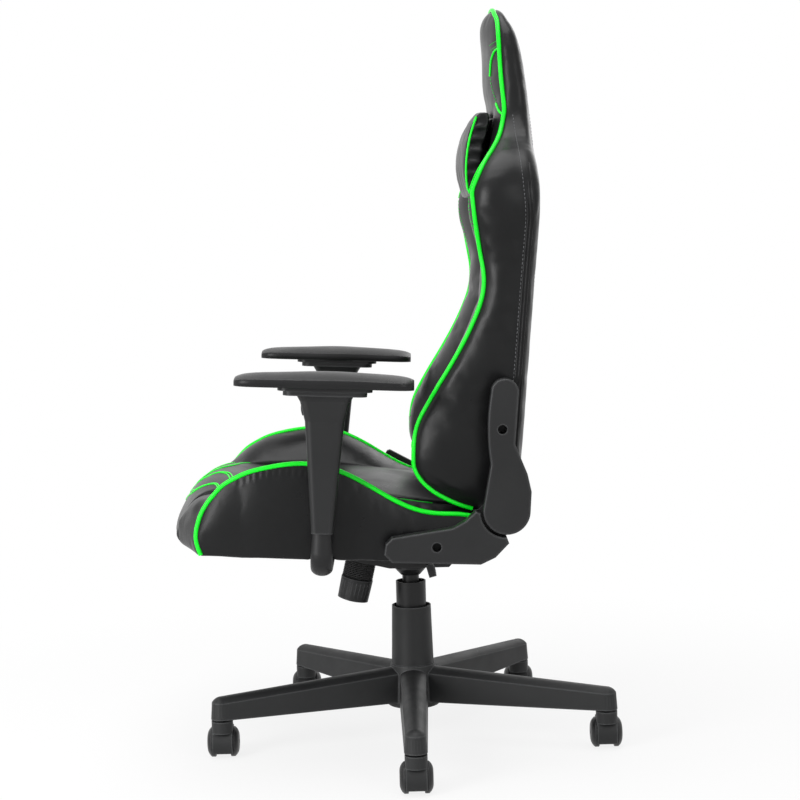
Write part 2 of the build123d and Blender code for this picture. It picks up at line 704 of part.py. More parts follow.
def tension_spring():
    """Coil about the bolt, one unbroken wire swept along quarter-turn arcs."""
    low = KNOB_FLOOR - KNOB_LENGTH + SPRING_WIRE + PART_GAP
    high = boot_height() - SPRING_WIRE - PART_GAP
    climb = (high - low) / SPRING_TURNS

    def at(turn):
        angle = 2 * pi * turn
        return (SPRING_RADIUS * cos(angle), SPRING_RADIUS * sin(angle), low + climb * turn)

    edges = []
    for quarter in range(4 * SPRING_TURNS):
        turn = quarter / 4
        edges.append(Edge.make_three_point_arc(at(turn), at(turn + 0.125), at(turn + 0.25)))
    path = Wire(edges)
    section = Plane(origin=at(0), z_dir=path % 0) * Circle(SPRING_WIRE)
    print("spring: gap between turns %.2f mm" % (climb - 2 * SPRING_WIRE))
    return on_knob_axis(one(sweep(section, path=path)))


def tilt_plate():
    """Plate under the seat frame with two ears on the tilt pin."""
    half, low = TILT_PLATE_HALF, PLATE_BOTTOM
    body = block(-half, half, TILT_PLATE_FRONT, TILT_PLATE_REAR, low, SEAT_BOTTOM)
    inner = HOUSING_HALF + EAR_GAP
    eye, root = EAR_EYE, 2 * EAR_EYE
    for side in (1, -1):
        outer = inner + EAR_THICKNESS
        ear = slab_x(side * inner, side * outer, (TILT_Y - root, low), (TILT_Y - eye, TILT_Z),
                     ((TILT_Y, TILT_Z - eye), (TILT_Y + eye, TILT_Z)), (TILT_Y + root, low))
        body = body + ear
    reach = inner + 2 * EAR_THICKNESS
    body = body - rod_between((-reach, TILT_Y, TILT_Z), (reach, TILT_Y, TILT_Z), TILT_PIN_RADIUS + RUN_FIT)
    for x, y in seat_bolt_spots():
        body = body - rod_between((x, y, low - 1), (x, y, SEAT_BOTTOM + 1), SEAT_BOLT_RADIUS + SLIDE_FIT)
    return one(body)


# Seat frame

def seat_bolt_spots():
    return [(x, y) for x in (-SEAT_BOLT_X, SEAT_BOLT_X) for y in (RAIL_MIDDLE_Y, RAIL_REAR_Y)]


def seat_bolts():
    bolts = []
    for x, y in seat_bolt_spots():
        head_low = PLATE_BOTTOM - SEAT_BOLT_HEAD_HEIGHT
        head = Solid.make_cylinder(SEAT_BOLT_HEAD, SEAT_BOLT_HEAD_HEIGHT).moved(Location((x, y, head_low)))
        shank = rod_between((x, y, PLATE_BOTTOM), (x, y, SEAT_BOTTOM + 0.8 * RAIL_SIZE), SEAT_BOLT_RADIUS)
        bolts.append(one(head + shank))
    return Compound(bolts)


def seat_frame():
    low, high = SEAT_BOTTOM, SEAT_BOTTOM + RAIL_SIZE
    half = RAIL_SIZE / 2
    body = block(-LOWER_PLATE_X, LOWER_PLATE_X, RAIL_REAR_Y - half, RAIL_REAR_Y + half, low, high)
    for y in (RAIL_FRONT_Y, RAIL_MIDDLE_Y):
        body = body + block(-RAIL_X, RAIL_X, y - half, y + half, low, high)
    for x in (-RAIL_X, RAIL_X):
        body = body + block(x - half, x + half, RAIL_FRONT_Y - half, RAIL_REAR_Y + half, low, high)
    for x, y in seat_bolt_spots():
        body = body - rod_between((x, y, low - 1), (x, y, low + 0.85 * RAIL_SIZE), SEAT_BOLT_RADIUS + RUN_FIT)
    return one(body)


def seat_belts():
    low = SEAT_BOTTOM + RAIL_SIZE
    reach = RAIL_X + RAIL_SIZE / 2
    half = BELT_WIDTH / 2
    high = low + BELT_THICKNESS
    return Compound([one(block(-reach, reach, y - half, y + half, low, high)) for y in BELT_YS])


# Seat cushions

def seat_cushion_section(x):
    """Side outline of the centre cushion at x: lower, and drawn in at the nose, towards its seams."""
    share = (x / SEAT_SEAM_X) ** 2
    drop = SEAT_CROWN * share
    draw = NOSE_DRAW_IN * share
    step = RAIL_FRONT_Y - RAIL_SIZE / 2 - SOFT_GAP
    top = (SEAT_TOP[0], SEAT_TOP[1] - drop)
    brow = (SEAT_BROW[0] + draw / 2, SEAT_BROW[1] - drop)
    slope = (SEAT_SLOPE[0] + draw * 0.8, SEAT_SLOPE[1] - drop / 2)
    nose = (SEAT_NOSE + draw, SEAT_NOSE_Z)
    chin = (SEAT_CHIN[0] + draw, SEAT_CHIN[1])
    skirt = (SEAT_SKIRT_FRONT + draw, SEAT_BOTTOM)
    return trace(on_x(x), (step, SEAT_BOTTOM), (step, CUSHION_FLOOR), (SEAT_REAR, CUSHION_FLOOR),
                 (SEAT_REAR, SEAT_REAR_Z - drop / 2), (top, brow), (slope, nose), (chin, skirt))


def seat_cushion():
    seam = SEAT_SEAM_X - SOFT_GAP
    return Solid.make_loft([seat_cushion_section(seam * share) for share in (-1, -0.55, 0, 0.55, 1)])


# Stations of a seat bolster: Y at the seam, Y and X at the outer edge, heights of the seam and of the piping,
# crown between them, and how far the foot is lifted.
SEAT_BOLSTER = (
    (-371.0, -334.0, 242.0, 381.0, 377.0, 0.5, 15.0),
    (-366.0, -332.0, 247.0, 391.0, 388.0, 2.0, 6.0),
    (-352.0, -327.0, 250.5, 407.0, 408.0, 4.0, 0.0),
    (-330.0, -314.0, 254.0, 424.0, 433.0, 6.0, 0.0),
    (-298.0, -286.0, 257.0, 436.0, 461.0, 8.0, 0.0),
    (-258.0, -250.0, 260.0, 443.0, 483.0, 9.0, 0.0),
    (-200.0, -196.0, 262.0, 446.0, 494.5, 9.0, 0.0),
    (-98.0, -96.0, 259.0, 441.0, 476.5, 7.0, 0.0),
    (-32.0, -31.0, 254.0, 432.0, 441.0, 3.0, 0.0),
    (40.0, 40.0, 252.0, 425.0, 421.0, 0.6, 0.0),
    (SEAT_REAR, SEAT_REAR, 250.0, 419.0, 415.0, 0.6, 0.0),
)
BOLSTER_PIPING_SET_IN = 8.0
BOLSTER_SIDE_BULGE = 0.5
BOLSTER_FOOT_SET_IN = 6.0
BOLSTER_SKIRT = 2.5


def seat_bolster_section(station):
    seam_y, outer_y, outer_x, seam_z, piping_z, rise, lift = station
    width = outer_x - SEAT_SEAM_X

    def place(point):
        return (SEAT_SEAM_X + point[0], seam_y + (outer_y - seam_y) * point[0] / width, point[1])

    low = SEAT_BOTTOM - BOLSTER_SKIRT + lift
    foot = (width - BOLSTER_FOOT_SET_IN, low)
    piping = (width - BOLSTER_PIPING_SET_IN, piping_z)
    side = (width + BOLSTER_SIDE_BULGE, (low + piping_z) / 2)
    crown = (piping[0] / 2, (seam_z + piping_z) / 2 + rise)
    return trace(place, (0, low), foot, (side, piping), (crown, (0, seam_z)))


def seat_bolster():
    """Side wing of the seat, with channels over the rear rail and the arm's bracket."""
    body = Solid.make_loft([seat_bolster_section(station) for station in SEAT_BOLSTER])
    inner, outer = SEAT_SEAM_X - 5, ARM_X
    low, high = SEAT_BOTTOM - 2 * BOLSTER_SKIRT, SEAT_BOTTOM + SOFT_GAP
    half = RAIL_SIZE / 2 + SOFT_GAP
    body = body - block(inner, outer, RAIL_REAR_Y - half, RAIL_REAR_Y + half, low, high + RAIL_SIZE)
    half = BRACKET_HALF_WIDTH + SOFT_GAP
    return one(body - block(inner, outer, ARM_Y - half, ARM_Y + half, low, high))


# Recliner and its covers

def on_hinge(radius, angle):
    return (HINGE_Y + radius * cos(radians(angle)), HINGE_Z + radius * sin(radians(angle)))


def hinge_rod(start, end, radius):
    return rod_between((start, HINGE_Y, HINGE_Z), (end, HINGE_Y, HINGE_Z), radius)


def recliner_lower(side):
    """Steel plate on the end of the rear rail, with the hinge pin; the right one also has the lever's pin."""
    x = LOWER_PLATE_X
    low = SEAT_BOTTOM + LOWER_PLATE_RISE
    front = LOWER_PLATE_FRONT
    step = (LOWER_PLATE_STEP[0], low + LOWER_PLATE_STEP[1])
    plate = slab_x(x, x + HINGE_PLATE, (front, low), (LOWER_PLATE_REAR, low), on_hinge(HINGE_EYE_RADIUS, -30),
                   on_hinge(HINGE_EYE_RADIUS, 150), step, (front, low + LOWER_PLATE_NOSE))
    eye = hinge_rod(x, x + HINGE_PLATE, HINGE_EYE_RADIUS)
    pin = hinge_rod(UPPER_PLATE_X + SLIDE_FIT, x + HINGE_PLATE, HINGE_PIN_RADIUS)
    pieces = [one(plate + eye - pin), pin]
    if side < 0:
        pieces.append(lever_rod(x + HINGE_PLATE, lever_outer_x() + 1, RECLINE_LEVER_PIN))
    return mirrored(Compound(pieces), side)


def back_bolt_rod(start, end, z, radius):
    return rod_between((start, BACK_BOLT_Y, z), (end, BACK_BOLT_Y, z), radius)


def recliner_upper(side):
    """Steel plate bolted to the side of the back, turning on the hinge pin."""
    x = UPPER_PLATE_X
    low, high = BACK_BOLT_ZS
    top = high + UPPER_PLATE_TOP
    rear = BACK_BOLT_Y + UPPER_PLATE_BACK
    eye_edge = HINGE_EYE_RADIUS - HINGE_PLATE
    plate = slab_x(x, x + HINGE_PLATE, on_hinge(eye_edge, 180), (BACK_BOLT_Y - UPPER_PLATE_DEPTH, top),
                   (rear + SEAT_BOLT_RADIUS, top), (rear, (low + high) / 2), on_hinge(eye_edge, 20))
    body = plate + hinge_rod(x, x + HINGE_PLATE, HINGE_EYE_RADIUS)
    reach = x + HINGE_PLATE + 1
    body = body - hinge_rod(x - 1, reach, HINGE_PIN_RADIUS + RUN_FIT)
    for z in BACK_BOLT_ZS:
        body = body - back_bolt_rod(x - 1, reach, z, SEAT_BOLT_RADIUS + SLIDE_FIT)
    return mirrored(one(body), side)


def back_bolt_tip():
    return BACK_LEG_X + BACK_TUBE + BACK_BOSS_RADIUS


def back_bolts():
    bolts = []
    face = UPPER_PLATE_X + HINGE_PLATE
    for _, side in SIDES:
        for z in BACK_BOLT_ZS:
            shank = back_bolt_rod(back_bolt_tip(), face, z, SEAT_BOLT_RADIUS)
            head = back_bolt_rod(face, face + SEAT_BOLT_HEAD_HEIGHT, z, BACK_BOLT_HEAD)
            bolts.append(mirrored(one(shank + head), side))
    return Compound(bolts)


def seat_cover_outline():
    arc = LOBE_RADIUS + LOBE_GAP
    return ((-42.6, 361.0), (-41.0, 377.0), (-31.7, 387.0), (61.0, 405.0), (80.0, 416.5), (95.0, 432.0),
            on_hinge(arc, 186), (on_hinge(arc, 230), on_hinge(arc, 272)), (147.0, 384.0), (127.0, 361.5),
            (105.0, 350.0), (-30.0, 349.0))


def back_cover_outline():
    lobe = LOBE_RADIUS
    return ((112.6, 612.0), ((109.4, 560.0), (115.6, 503.0)), on_hinge(lobe, 180),
            (on_hinge(lobe, 270), on_hinge(lobe, 0)), (178.6, 464.0), (171.5, 491.0), (151.0, 536.0),
            (154.0, 612.0), ((133.0, 635.0), (112.6, 612.0)))


def side_cover(outline, hole, seat_x):
    """Moulded cover, open towards the chair, with a recessed screw boss that reaches the steel plate."""
    outer = slab_x(SIDE_COVER_INNER, SIDE_COVER_OUTER, *outline)
    inset = Face(trace(on_x(SIDE_COVER_INNER - 1), *outline)).outer_wire().offset_2d(-SIDE_COVER_WALL)
    depth = SIDE_COVER_OUTER - SIDE_COVER_WALL - SIDE_COVER_INNER + 1
    body = one(outer - Solid.extrude(Face(inset), Vector(depth, 0, 0)))
    body = body.fillet(COVER_EDGE, body.faces().sort_by(Axis.X)[-1].edges())
    y, z = hole
    boss = rod_between((seat_x, y, z), (SIDE_COVER_OUTER - 1, y, z), COVER_HOLE_RADIUS + COVER_BOSS_WALL)
    bore = rod_between((seat_x + COVER_BOSS_FLOOR, y, z), (SIDE_COVER_OUTER + 1, y, z), COVER_HOLE_RADIUS)
    return one(body + boss - bore)


def lever_inner_x():
    return SIDE_COVER_INNER + RECLINE_LEVER_SET_OUT


def lever_outer_x():
    return lever_inner_x() + RECLINE_LEVER_THICKNESS


def lever_rod(start, end, radius):
    y, z = RECLINE_LEVER_Y, RECLINE_LEVER_Z
    return rod_between((start, y, z), (end, y, z), radius)


def lever_point(out, across):
    """Point on the recline lever: distance out from its pin and across its axis, in (Y, Z)."""
    rise = radians(180 - RECLINE_LEVER_RISE)
    y = out * cos(rise) + across * sin(rise)
    z = out * sin(rise) - across * cos(rise)
    return (RECLINE_LEVER_Y + y, RECLINE_LEVER_Z + z)


def recline_lever():
    half = RECLINE_LEVER_WIDTH / 2
    inner, outer = lever_inner_x(), lever_outer_x()
    end, bevel = RECLINE_LEVER_REACH, RECLINE_LEVER_BEVEL
    arm = slab_x(inner, outer, lever_point(0, -half), lever_point(end, -half), lever_point(end, half - bevel),
                 lever_point(end - bevel, half), lever_point(0, half))
    eye = lever_rod(inner, outer, RECLINE_LEVER_EYE)
    hole = lever_rod(inner - 1, outer + 1, RECLINE_LEVER_PIN + RUN_FIT)
    return mirrored(one(arm + eye - hole), -1)


def lever_slot():
    """Mouth in the right seat cover that the lever swings in."""
    reach = RECLINE_LEVER_REACH / 2
    half = RECLINE_LEVER_WIDTH / 2 + 2
    start = lever_point(reach, -half)
    lift = radians(RECLINE_LEVER_TRAVEL)

    def lifted(point):
        y, z = point[0] - RECLINE_LEVER_Y, point[1] - RECLINE_LEVER_Z
        across = y * cos(lift) + z * sin(lift)
        up = z * cos(lift) - y * sin(lift)
        return (RECLINE_LEVER_Y + across, RECLINE_LEVER_Z + up)

    return slab_x(lever_inner_x() - 3, lever_outer_x() + 2, lever_point(0, -half), start,
                  lifted(lever_point(reach, half)), lifted(lever_point(0, half)))


def seat_cover(side):
    body = side_cover(seat_cover_outline(), SEAT_COVER_HOLE, LOWER_PLATE_X + HINGE_PLATE)
    if side < 0:
        body = one(body - lever_slot())
    return mirrored(body, side)


def back_cover(side):
    return mirrored(side_cover(back_cover_outline(), BACK_COVER_HOLE, UPPER_PLATE_X + HINGE_PLATE), side)


# Back

def flipped(point):
    return (-point[0], point[1])


def back_outline():
    """Front outline of the back, in (X, Z)."""
    start = BACK_EDGE[0][0]
    moves = []
    here = start
    for low, middle, high in BACK_EDGE:
        if low != here:
            moves.append(low)
        moves.append((middle, high))
        here = high
    here = flipped(here)
    moves.append(((0, BACK_TOP), here))
    for low, middle, high in reversed(BACK_EDGE):
        if flipped(high) != here:
            moves.append(flipped(high))
        here = flipped(low)
        moves.append((flipped(middle), here))
    return trace(on_y(0), start, *moves)


def side_band(front, rear):
    """Prism across the whole back between two lines made of arcs, seen from the side."""
    reach = 2 * BACK_SIDE
    up = [(middle, high) for _, middle, high in rear]
    down = [(middle, low) for low, middle, _ in reversed(front)]
    return slab_x(-reach, reach, front[0][0], rear[0][0], *up, front[-1][2], *down)


def moved_back(runs, step):
    return [[(y + step, z) for y, z in run] for run in runs]


def back_shell():
    """Tray that closes the back behind the cushions."""
    outline = back_outline()
    depth = Vector(0, REAR_LINE[0][2][0] + 10, 0)
    body = Solid.extrude(Face(outline), depth).intersect(side_band(RIM_LINE, REAR_LINE))
    inside = Solid.extrude(Face(outline.offset_2d(-SHELL_WALL)), depth)
    band = side_band(moved_back(RIM_LINE, -SHELL_DEPTH), moved_back(REAR_LINE, -SHELL_WALL))
    body = one(body) - one(inside.intersect(band))
    for _, side in SIDES:
        for z in BACK_BOLT_ZS:
            inner, outer = side * (BACK_SIDE - 2 * SHELL_WALL), side * (BACK_SIDE + SHELL_WALL)
            body = body - back_bolt_rod(inner, outer, z, SEAT_BOLT_RADIUS + SLIDE_FIT)
    return one(body)


def tube_along(points, bend, radius, closed):
    path = FilletPolyline(*points, radius=bend, close=closed)
    return sweep(Plane(origin=path @ 0, z_dir=path % 0) * Circle(radius), path=path)


def back_frame():
    """Welded tube frame inside the shell: a hoop, a head loop, and threaded bosses for the recliner bolts."""
    x, head = BACK_LEG_X, HEAD_TUBE_X
    hoop = [(x, *FRAME_FOOT), (x, *FRAME_SHOULDER), (-x, *FRAME_SHOULDER), (-x, *FRAME_FOOT)]
    loop = [(head, *FRAME_SHOULDER), (head, *FRAME_CROWN), (-head, *FRAME_CROWN), (-head, *FRAME_SHOULDER)]
    body = tube_along(hoop, FRAME_BEND, BACK_TUBE, True) + tube_along(loop, FRAME_BEND, HEAD_TUBE, False)
    end = BACK_SIDE - SHELL_WALL - PART_GAP
    for _, side in SIDES:
        for z in BACK_BOLT_ZS:
            body = body + back_bolt_rod(side * x, side * end, z, BACK_BOSS_RADIUS)
    for _, side in SIDES:
        for z in BACK_BOLT_ZS:
            tip = side * (back_bolt_tip() - PART_GAP)
            body = body - back_bolt_rod(tip, side * BACK_SIDE, z, SEAT_BOLT_RADIUS + RUN_FIT)
    return one(body)


# Stations up the back: height, Y of the side piping, how far the wing rolls ahead of it, and Y of the seam
# beside the centre panel.
BACK_STATIONS = (
    (429.0, 74.0, 5.0, 100.0),
    (452.0, 26.0, 9.0, 86.0),
    (500.0, -2.0, 10.0, 70.0),
    (575.0, 13.0, 10.0, 76.0),
    (650.0, 54.0, 9.0, 94.0),
    (725.0, 88.0, 8.0, 114.0),
    (787.0, 99.0, 8.0, 124.0),
    (850.0, 88.0, 9.0, 126.0),
    (905.0, 79.0, 8.5, 124.0),
    (960.0, 96.0, 6.0, 119.0),
    (1000.0, 117.0, 6.0, 113.0),
    (BACK_NECK - 1.0, 124.0, 9.0, 109.0),
)
WING_SET_IN = 1.5
WING_SIDE_SET_IN = 1.0
WING_PIPING_SET_IN = 7.0
WING_ROLL_WIDTH = 31.0
WING_CROWN = 6.0


def back_bolster_section(station):
    z, piping_y, roll, seam_y = station
    rear = along(RIM_LINE, z) - SOFT_GAP
    inner = BACK_SEAM_X + SOFT_GAP / 2
    outer = half_width(z) - WING_SET_IN
    piping = (outer - WING_PIPING_SET_IN, piping_y)
    side = (outer - WING_SIDE_SET_IN, (rear + piping_y) / 2)
    front = (piping[0] - WING_ROLL_WIDTH, piping_y - roll)
    shoulder = (piping[0] - WING_ROLL_WIDTH / 3, piping_y - 0.7 * roll)
    crown = ((inner + front[0]) / 2, (seam_y + front[1]) / 2 - WING_CROWN)
    return trace(on_z(z), (inner, rear), (outer, rear), (side, piping), (shoulder, front),
                 (crown, (inner, seam_y)))


def back_bolster():
    return Solid.make_loft([back_bolster_section(station) for station in BACK_STATIONS])


def back_cushion():
    """Centre panel with a crown across its width."""
    sections = []
    half = BACK_SEAM_X - SOFT_GAP / 2
    for z, _, _, seam_y in BACK_STATIONS[1:]:
        rear = along(RIM_LINE, z) - SOFT_GAP
        sections.append(trace(on_z(z), (-half, rear), (half, rear), (half, seam_y),
                              ((0, seam_y - CUSHION_CROWN), (-half, seam_y))))
    return Solid.make_loft(sections)


# Stations up the head panel: height, Y of the piping, Y of the middle of its front.
HEAD_STATIONS = (
    (BACK_NECK, 126.0, 106.0),
    (1070.0, 124.0, 103.5),
    (1110.0, 121.0, 100.0),
    (1150.0, 117.0, 97.5),
    (1180.0, 114.0, 92.5),
    (1200.0, 111.5, 93.5),
    (1207.0, 110.0, 98.0),
)


def head_cushion():
    sections = []
    for z, piping_y, middle_y in HEAD_STATIONS:
        rear = along(RIM_LINE, z) - SOFT_GAP
        half = half_width(z) - WING_SET_IN
        edge = min(piping_y, rear - 2)
        sections.append(trace(on_z(z), (-half, rear), (half, rear), (half - 2, edge),
                              ((0, middle_y), (2 - half, edge))))
    return Solid.make_loft(sections)


PILLOW_HALF = 140.0
PILLOW_TOP = 1045.0
PILLOW_FOOT = 909.0
PILLOW_REAR = 103.3
PILLOW_FRONT = 61.0
PILLOW_DRAW_IN = 9.0
PILLOW_SAG = 8.0
PILLOW_TOP_EDGE = (96.0, 86.0)
PILLOW_FOOT_EDGE = (84.0, 74.0)


def head_pillow():
    """Neck pillow: fuller in the middle, drawn in at its end panels."""
    sections = []
    middle_z = (PILLOW_TOP + PILLOW_FOOT) / 2
    for share in (-1, -0.55, 0, 0.55, 1):
        draw = PILLOW_DRAW_IN * share ** 2
        foot = PILLOW_FOOT + draw / 2
        top = PILLOW_TOP - draw / 2
        rear = (PILLOW_REAR - draw, middle_z)
        front = (PILLOW_FRONT + draw, middle_z - PILLOW_SAG)
        sections.append(trace(on_x(PILLOW_HALF * share), (PILLOW_FOOT_EDGE[0], foot),
                              (rear, (PILLOW_TOP_EDGE[0], top)), (PILLOW_TOP_EDGE[1], top),
                              (front, (PILLOW_FOOT_EDGE[1], foot))))
    return Solid.make_loft(sections)


# Arms

def arm_bracket():
    """Oval steel tube from under the seat, bent up and drawn down to a flat bar inside the post."""
    level = SEAT_BOTTOM - BRACKET_HALF_THICKNESS
    corner = ARM_X - BRACKET_BEND
    knee = 1 - 1 / sqrt(2)
    bend = Edge.make_three_point_arc((corner, ARM_Y, level),
                                     (ARM_X - BRACKET_BEND * knee, ARM_Y, level + BRACKET_BEND * knee),
                                     (ARM_X, ARM_Y, level + BRACKET_BEND))
    path = Wire([Edge.make_line((BRACKET_INNER_X, ARM_Y, level), (corner, ARM_Y, level)), bend])
    start = Plane(origin=(BRACKET_INNER_X, ARM_Y, level), x_dir=(0, 1, 0), z_dir=(1, 0, 0))
    tube = sweep(start * Ellipse(BRACKET_HALF_WIDTH, BRACKET_HALF_THICKNESS), path=path)
    low = level + BRACKET_BEND
    neck_top = POST_BOTTOM - PART_GAP
    ring = Ellipse(BRACKET_HALF_THICKNESS, BRACKET_HALF_WIDTH)
    small_ring = Ellipse(BRACKET_HALF_THICKNESS - BRACKET_TAPER, BRACKET_HALF_WIDTH - BRACKET_TAPER)
    neck = loft([Location((ARM_X, ARM_Y, low)) * ring, Location((ARM_X, ARM_Y, neck_top)) * small_ring])
    bar = Location((ARM_X, ARM_Y, low)) * RectangleRounded(BAR_THICKNESS, BAR_LENGTH, BAR_CORNER)
    return one(tube + neck + extrude(bar, BAR_TOP - low))


# Rings of the post: drop below the flange, length, width, corner.
POST_FOOT = (FLANGE_BOTTOM - POST_BOTTOM, 33.3, 25.0, 8.0)
POST_WAIST = (40.0, 59.3, 33.0, 10.0)
POST_FLARE = (10.0, 75.0, 40.0, 11.0)
POST_NECK = (0.0, 86.6, 46.0, 12.0)
FLANGE_CORNER = 14.0
PAD_PLATE_CORNER = 16.0


def post_ring(z, length, width, radius):
    return Location((ARM_X, ARM_Y, z)) * RectangleRounded(width, length, radius)


def post_rings(*rings):
    return loft([post_ring(FLANGE_BOTTOM - drop, *size) for drop, *size in rings], ruled=True)


def arm_post():
    """Moulded sleeve that slides on the bracket's bar, flared into the flange that carries the pad."""
    body = post_rings(POST_FOOT, POST_WAIST) + post_rings(POST_WAIST, POST_FLARE, POST_NECK)
    flange = extrude(post_ring(FLANGE_BOTTOM, FLANGE_LENGTH, FLANGE_WIDTH, FLANGE_CORNER), FLANGE_THICKNESS)
    fit = SLIDE_FIT
    cavity = post_ring(POST_BOTTOM - 1, BAR_LENGTH + 2 * fit, BAR_THICKNESS + 2 * fit, BAR_CORNER)
    slot_half = KEY_LENGTH / 2 + PAD_TRAVEL + fit
    slot_side = KEY_WIDTH / 2 + fit
    slot = block(ARM_X - slot_side, ARM_X + slot_side, ARM_Y - slot_half, ARM_Y + slot_half,
                 FLANGE_TOP - KEY_DEPTH - fit, FLANGE_TOP + 1)
    side, rise = BUTTON_WIDTH / 2 + fit, BUTTON_HEIGHT / 2 + fit
    front = ARM_Y - BUTTON_FRONT
    well = block(ARM_X - side, ARM_X + side, front - BUTTON_DEPTH, front + BUTTON_DEPTH + BUTTON_TRAVEL + fit,
                 BUTTON_Z - rise, BUTTON_Z + rise)
    return one(body + flange - extrude(cavity, BAR_TOP + BAR_HEADROOM - POST_BOTTOM) - slot - well)


def arm_button():
    front = ARM_Y - BUTTON_FRONT
    half = BUTTON_WIDTH / 2
    rise = BUTTON_HEIGHT / 2
    return slab_x(ARM_X - half, ARM_X + half, (front + BUTTON_DEPTH, BUTTON_Z - rise),
                  (front + BUTTON_DEPTH, BUTTON_Z + rise), (front - 1, BUTTON_Z + rise),
                  ((front - 0.6, BUTTON_Z), (front + 1.5, BUTTON_Z - rise)))


def pad_plate():
    """Plate under the pad with the key that slides in the flange."""
    outline = post_ring(PAD_PLATE_BOTTOM, PAD_PLATE_LENGTH, PAD_PLATE_WIDTH, PAD_PLATE_CORNER)
    plate = extrude(outline, PAD_PLATE_THICKNESS)
    key = block(ARM_X - KEY_WIDTH / 2, ARM_X + KEY_WIDTH / 2, ARM_Y - KEY_LENGTH / 2, ARM_Y + KEY_LENGTH / 2,
                FLANGE_TOP - KEY_DEPTH, PAD_PLATE_BOTTOM + 1)
    return one(plate + key)


# Stations along an arm pad: distance from the arm's centre, half-width, heights of the edge and of the crown.
PAD_STATIONS = (
    (-136.0, 30.0, 8.0, 11.5),
    (-128.0, 40.0, 9.5, 15.0),
    (-95.0, 47.0, 11.0, 19.0),
    (0.0, 50.0, 12.0, 23.0),
    (95.0, 47.0, 11.0, 20.0),
    (126.0, 41.0, 9.5, 16.0),
    (133.0, 32.0, 8.5, 13.0),
)
PAD_EDGE_SET_IN = 3.0


def arm_pad():
    sections = []
    for out, half, edge, crown in PAD_STATIONS:
        low = PAD_BOTTOM
        left, right = ARM_X - half, ARM_X + half
        start = (left + PAD_EDGE_SET_IN, low)
        sections.append(trace(on_y(ARM_Y + out), start, (right - PAD_EDGE_SET_IN, low),
                              ((right, low + edge / 2), (right - 1, low + edge)),
                              ((ARM_X, low + crown), (left + 1, low + edge)),
                              ((left, low + edge / 2), start)))
    return Solid.make_loft(sections)


# Build

os.makedirs("parts", exist_ok=True)

save(star_base(), "star_base")
hood = caster_hood()
wheels = caster_wheels()
for index in range(LEG_COUNT):
    save(hood.moved(caster_place(index)), "caster_hood_%d" % (index + 1))
    save(wheels.moved(caster_place(index)), "caster_wheels_%d" % (index + 1))

for make in (stand_tube, guide_bush, thrust_bearing, column_cover, piston_rod, gas_spindle, valve_pin,
             tilt_housing, tilt_pin, height_lever, tilt_lever, tension_knob, tension_bolt, tension_boot,
             tension_spring):
    save(make(), make.__name__)

for make in (tilt_plate, seat_bolts, seat_frame, seat_belts, seat_cushion, recline_lever, back_bolts,
             back_shell, back_frame, back_cushion, head_cushion, head_pillow):
    save(tipped(make()), make.__name__)

for make in (seat_bolster, back_bolster, arm_bracket, arm_post, arm_button, pad_plate, arm_pad):
    for name, side in SIDES:
        save(tipped(mirrored(make(), side)), make.__name__ + "_" + name)

for make in (recliner_lower, recliner_upper, seat_cover, back_cover):
    for name, side in SIDES:
        save(tipped(make(side)), make.__name__ + "_" + name)
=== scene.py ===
import math

import bmesh
import bpy
import numpy as np
from mathutils import Matrix, Vector
from mathutils.bvhtree import BVHTree
from mathutils.kdtree import KDTree


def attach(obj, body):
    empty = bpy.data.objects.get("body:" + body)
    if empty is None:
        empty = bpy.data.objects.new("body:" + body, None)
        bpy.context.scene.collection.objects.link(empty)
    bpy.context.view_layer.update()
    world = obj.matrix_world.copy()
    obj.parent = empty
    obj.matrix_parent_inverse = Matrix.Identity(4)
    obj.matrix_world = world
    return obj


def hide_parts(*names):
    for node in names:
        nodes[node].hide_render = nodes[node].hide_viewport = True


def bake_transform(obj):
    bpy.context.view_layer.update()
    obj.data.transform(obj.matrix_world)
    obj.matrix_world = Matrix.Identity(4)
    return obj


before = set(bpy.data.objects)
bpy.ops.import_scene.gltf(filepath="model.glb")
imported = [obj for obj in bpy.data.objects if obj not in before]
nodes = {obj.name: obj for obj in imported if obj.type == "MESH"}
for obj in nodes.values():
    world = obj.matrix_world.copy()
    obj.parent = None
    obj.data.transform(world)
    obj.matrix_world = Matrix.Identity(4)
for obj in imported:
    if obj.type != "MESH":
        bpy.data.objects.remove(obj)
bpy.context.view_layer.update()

MM = 0.001
SIDES = (("left", 1), ("right", -1))
REARWARD = (0, 1, 0)
FORWARD = (0, -1, 0)
DOWN = (0, 0, -1)

# The seat, the arms and the back are drawn level and stand a little nose-up about the tilt pin.
SEAT_PITCH = math.radians(3)
TILT_PIN = Vector((0, -0.042, 0.318))
LEAN = Matrix.Translation(TILT_PIN) @ Matrix.Rotation(-SEAT_PITCH, 4, "X") @ Matrix.Translation(-TILT_PIN)
LEVEL = LEAN.inverted()


def leaned(x, y, z):
    """A place drawn level, in millimetres, as it stands in the chair."""
    return LEAN @ (Vector((x, y, z)) * MM)


def level(point):
    """A place in the chair as it is drawn level, in millimetres."""
    return (LEVEL @ Vector(point)) / MM


def only(*pieces):
    """Selects these pieces and nothing else; the first is the active one."""
    bpy.ops.object.select_all(action="DESELECT")
    for piece in pieces:
        piece.select_set(True)
    bpy.context.view_layer.objects.active = pieces[0]


def edit_all(piece, operator, **settings):
    """Runs an edit-mode operator on the whole of a piece."""
    only(piece)
    bpy.ops.object.mode_set(mode="EDIT")
    bpy.ops.mesh.select_all(action="SELECT")
    operator(**settings)
    bpy.ops.object.mode_set(mode="OBJECT")


def on_body(piece, body, finish):
    """Gives a piece its finish, and the body that it moves with."""
    piece.data.materials.clear()
    piece.data.materials.append(finish)
    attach(piece, body)
    return piece


# Finishes

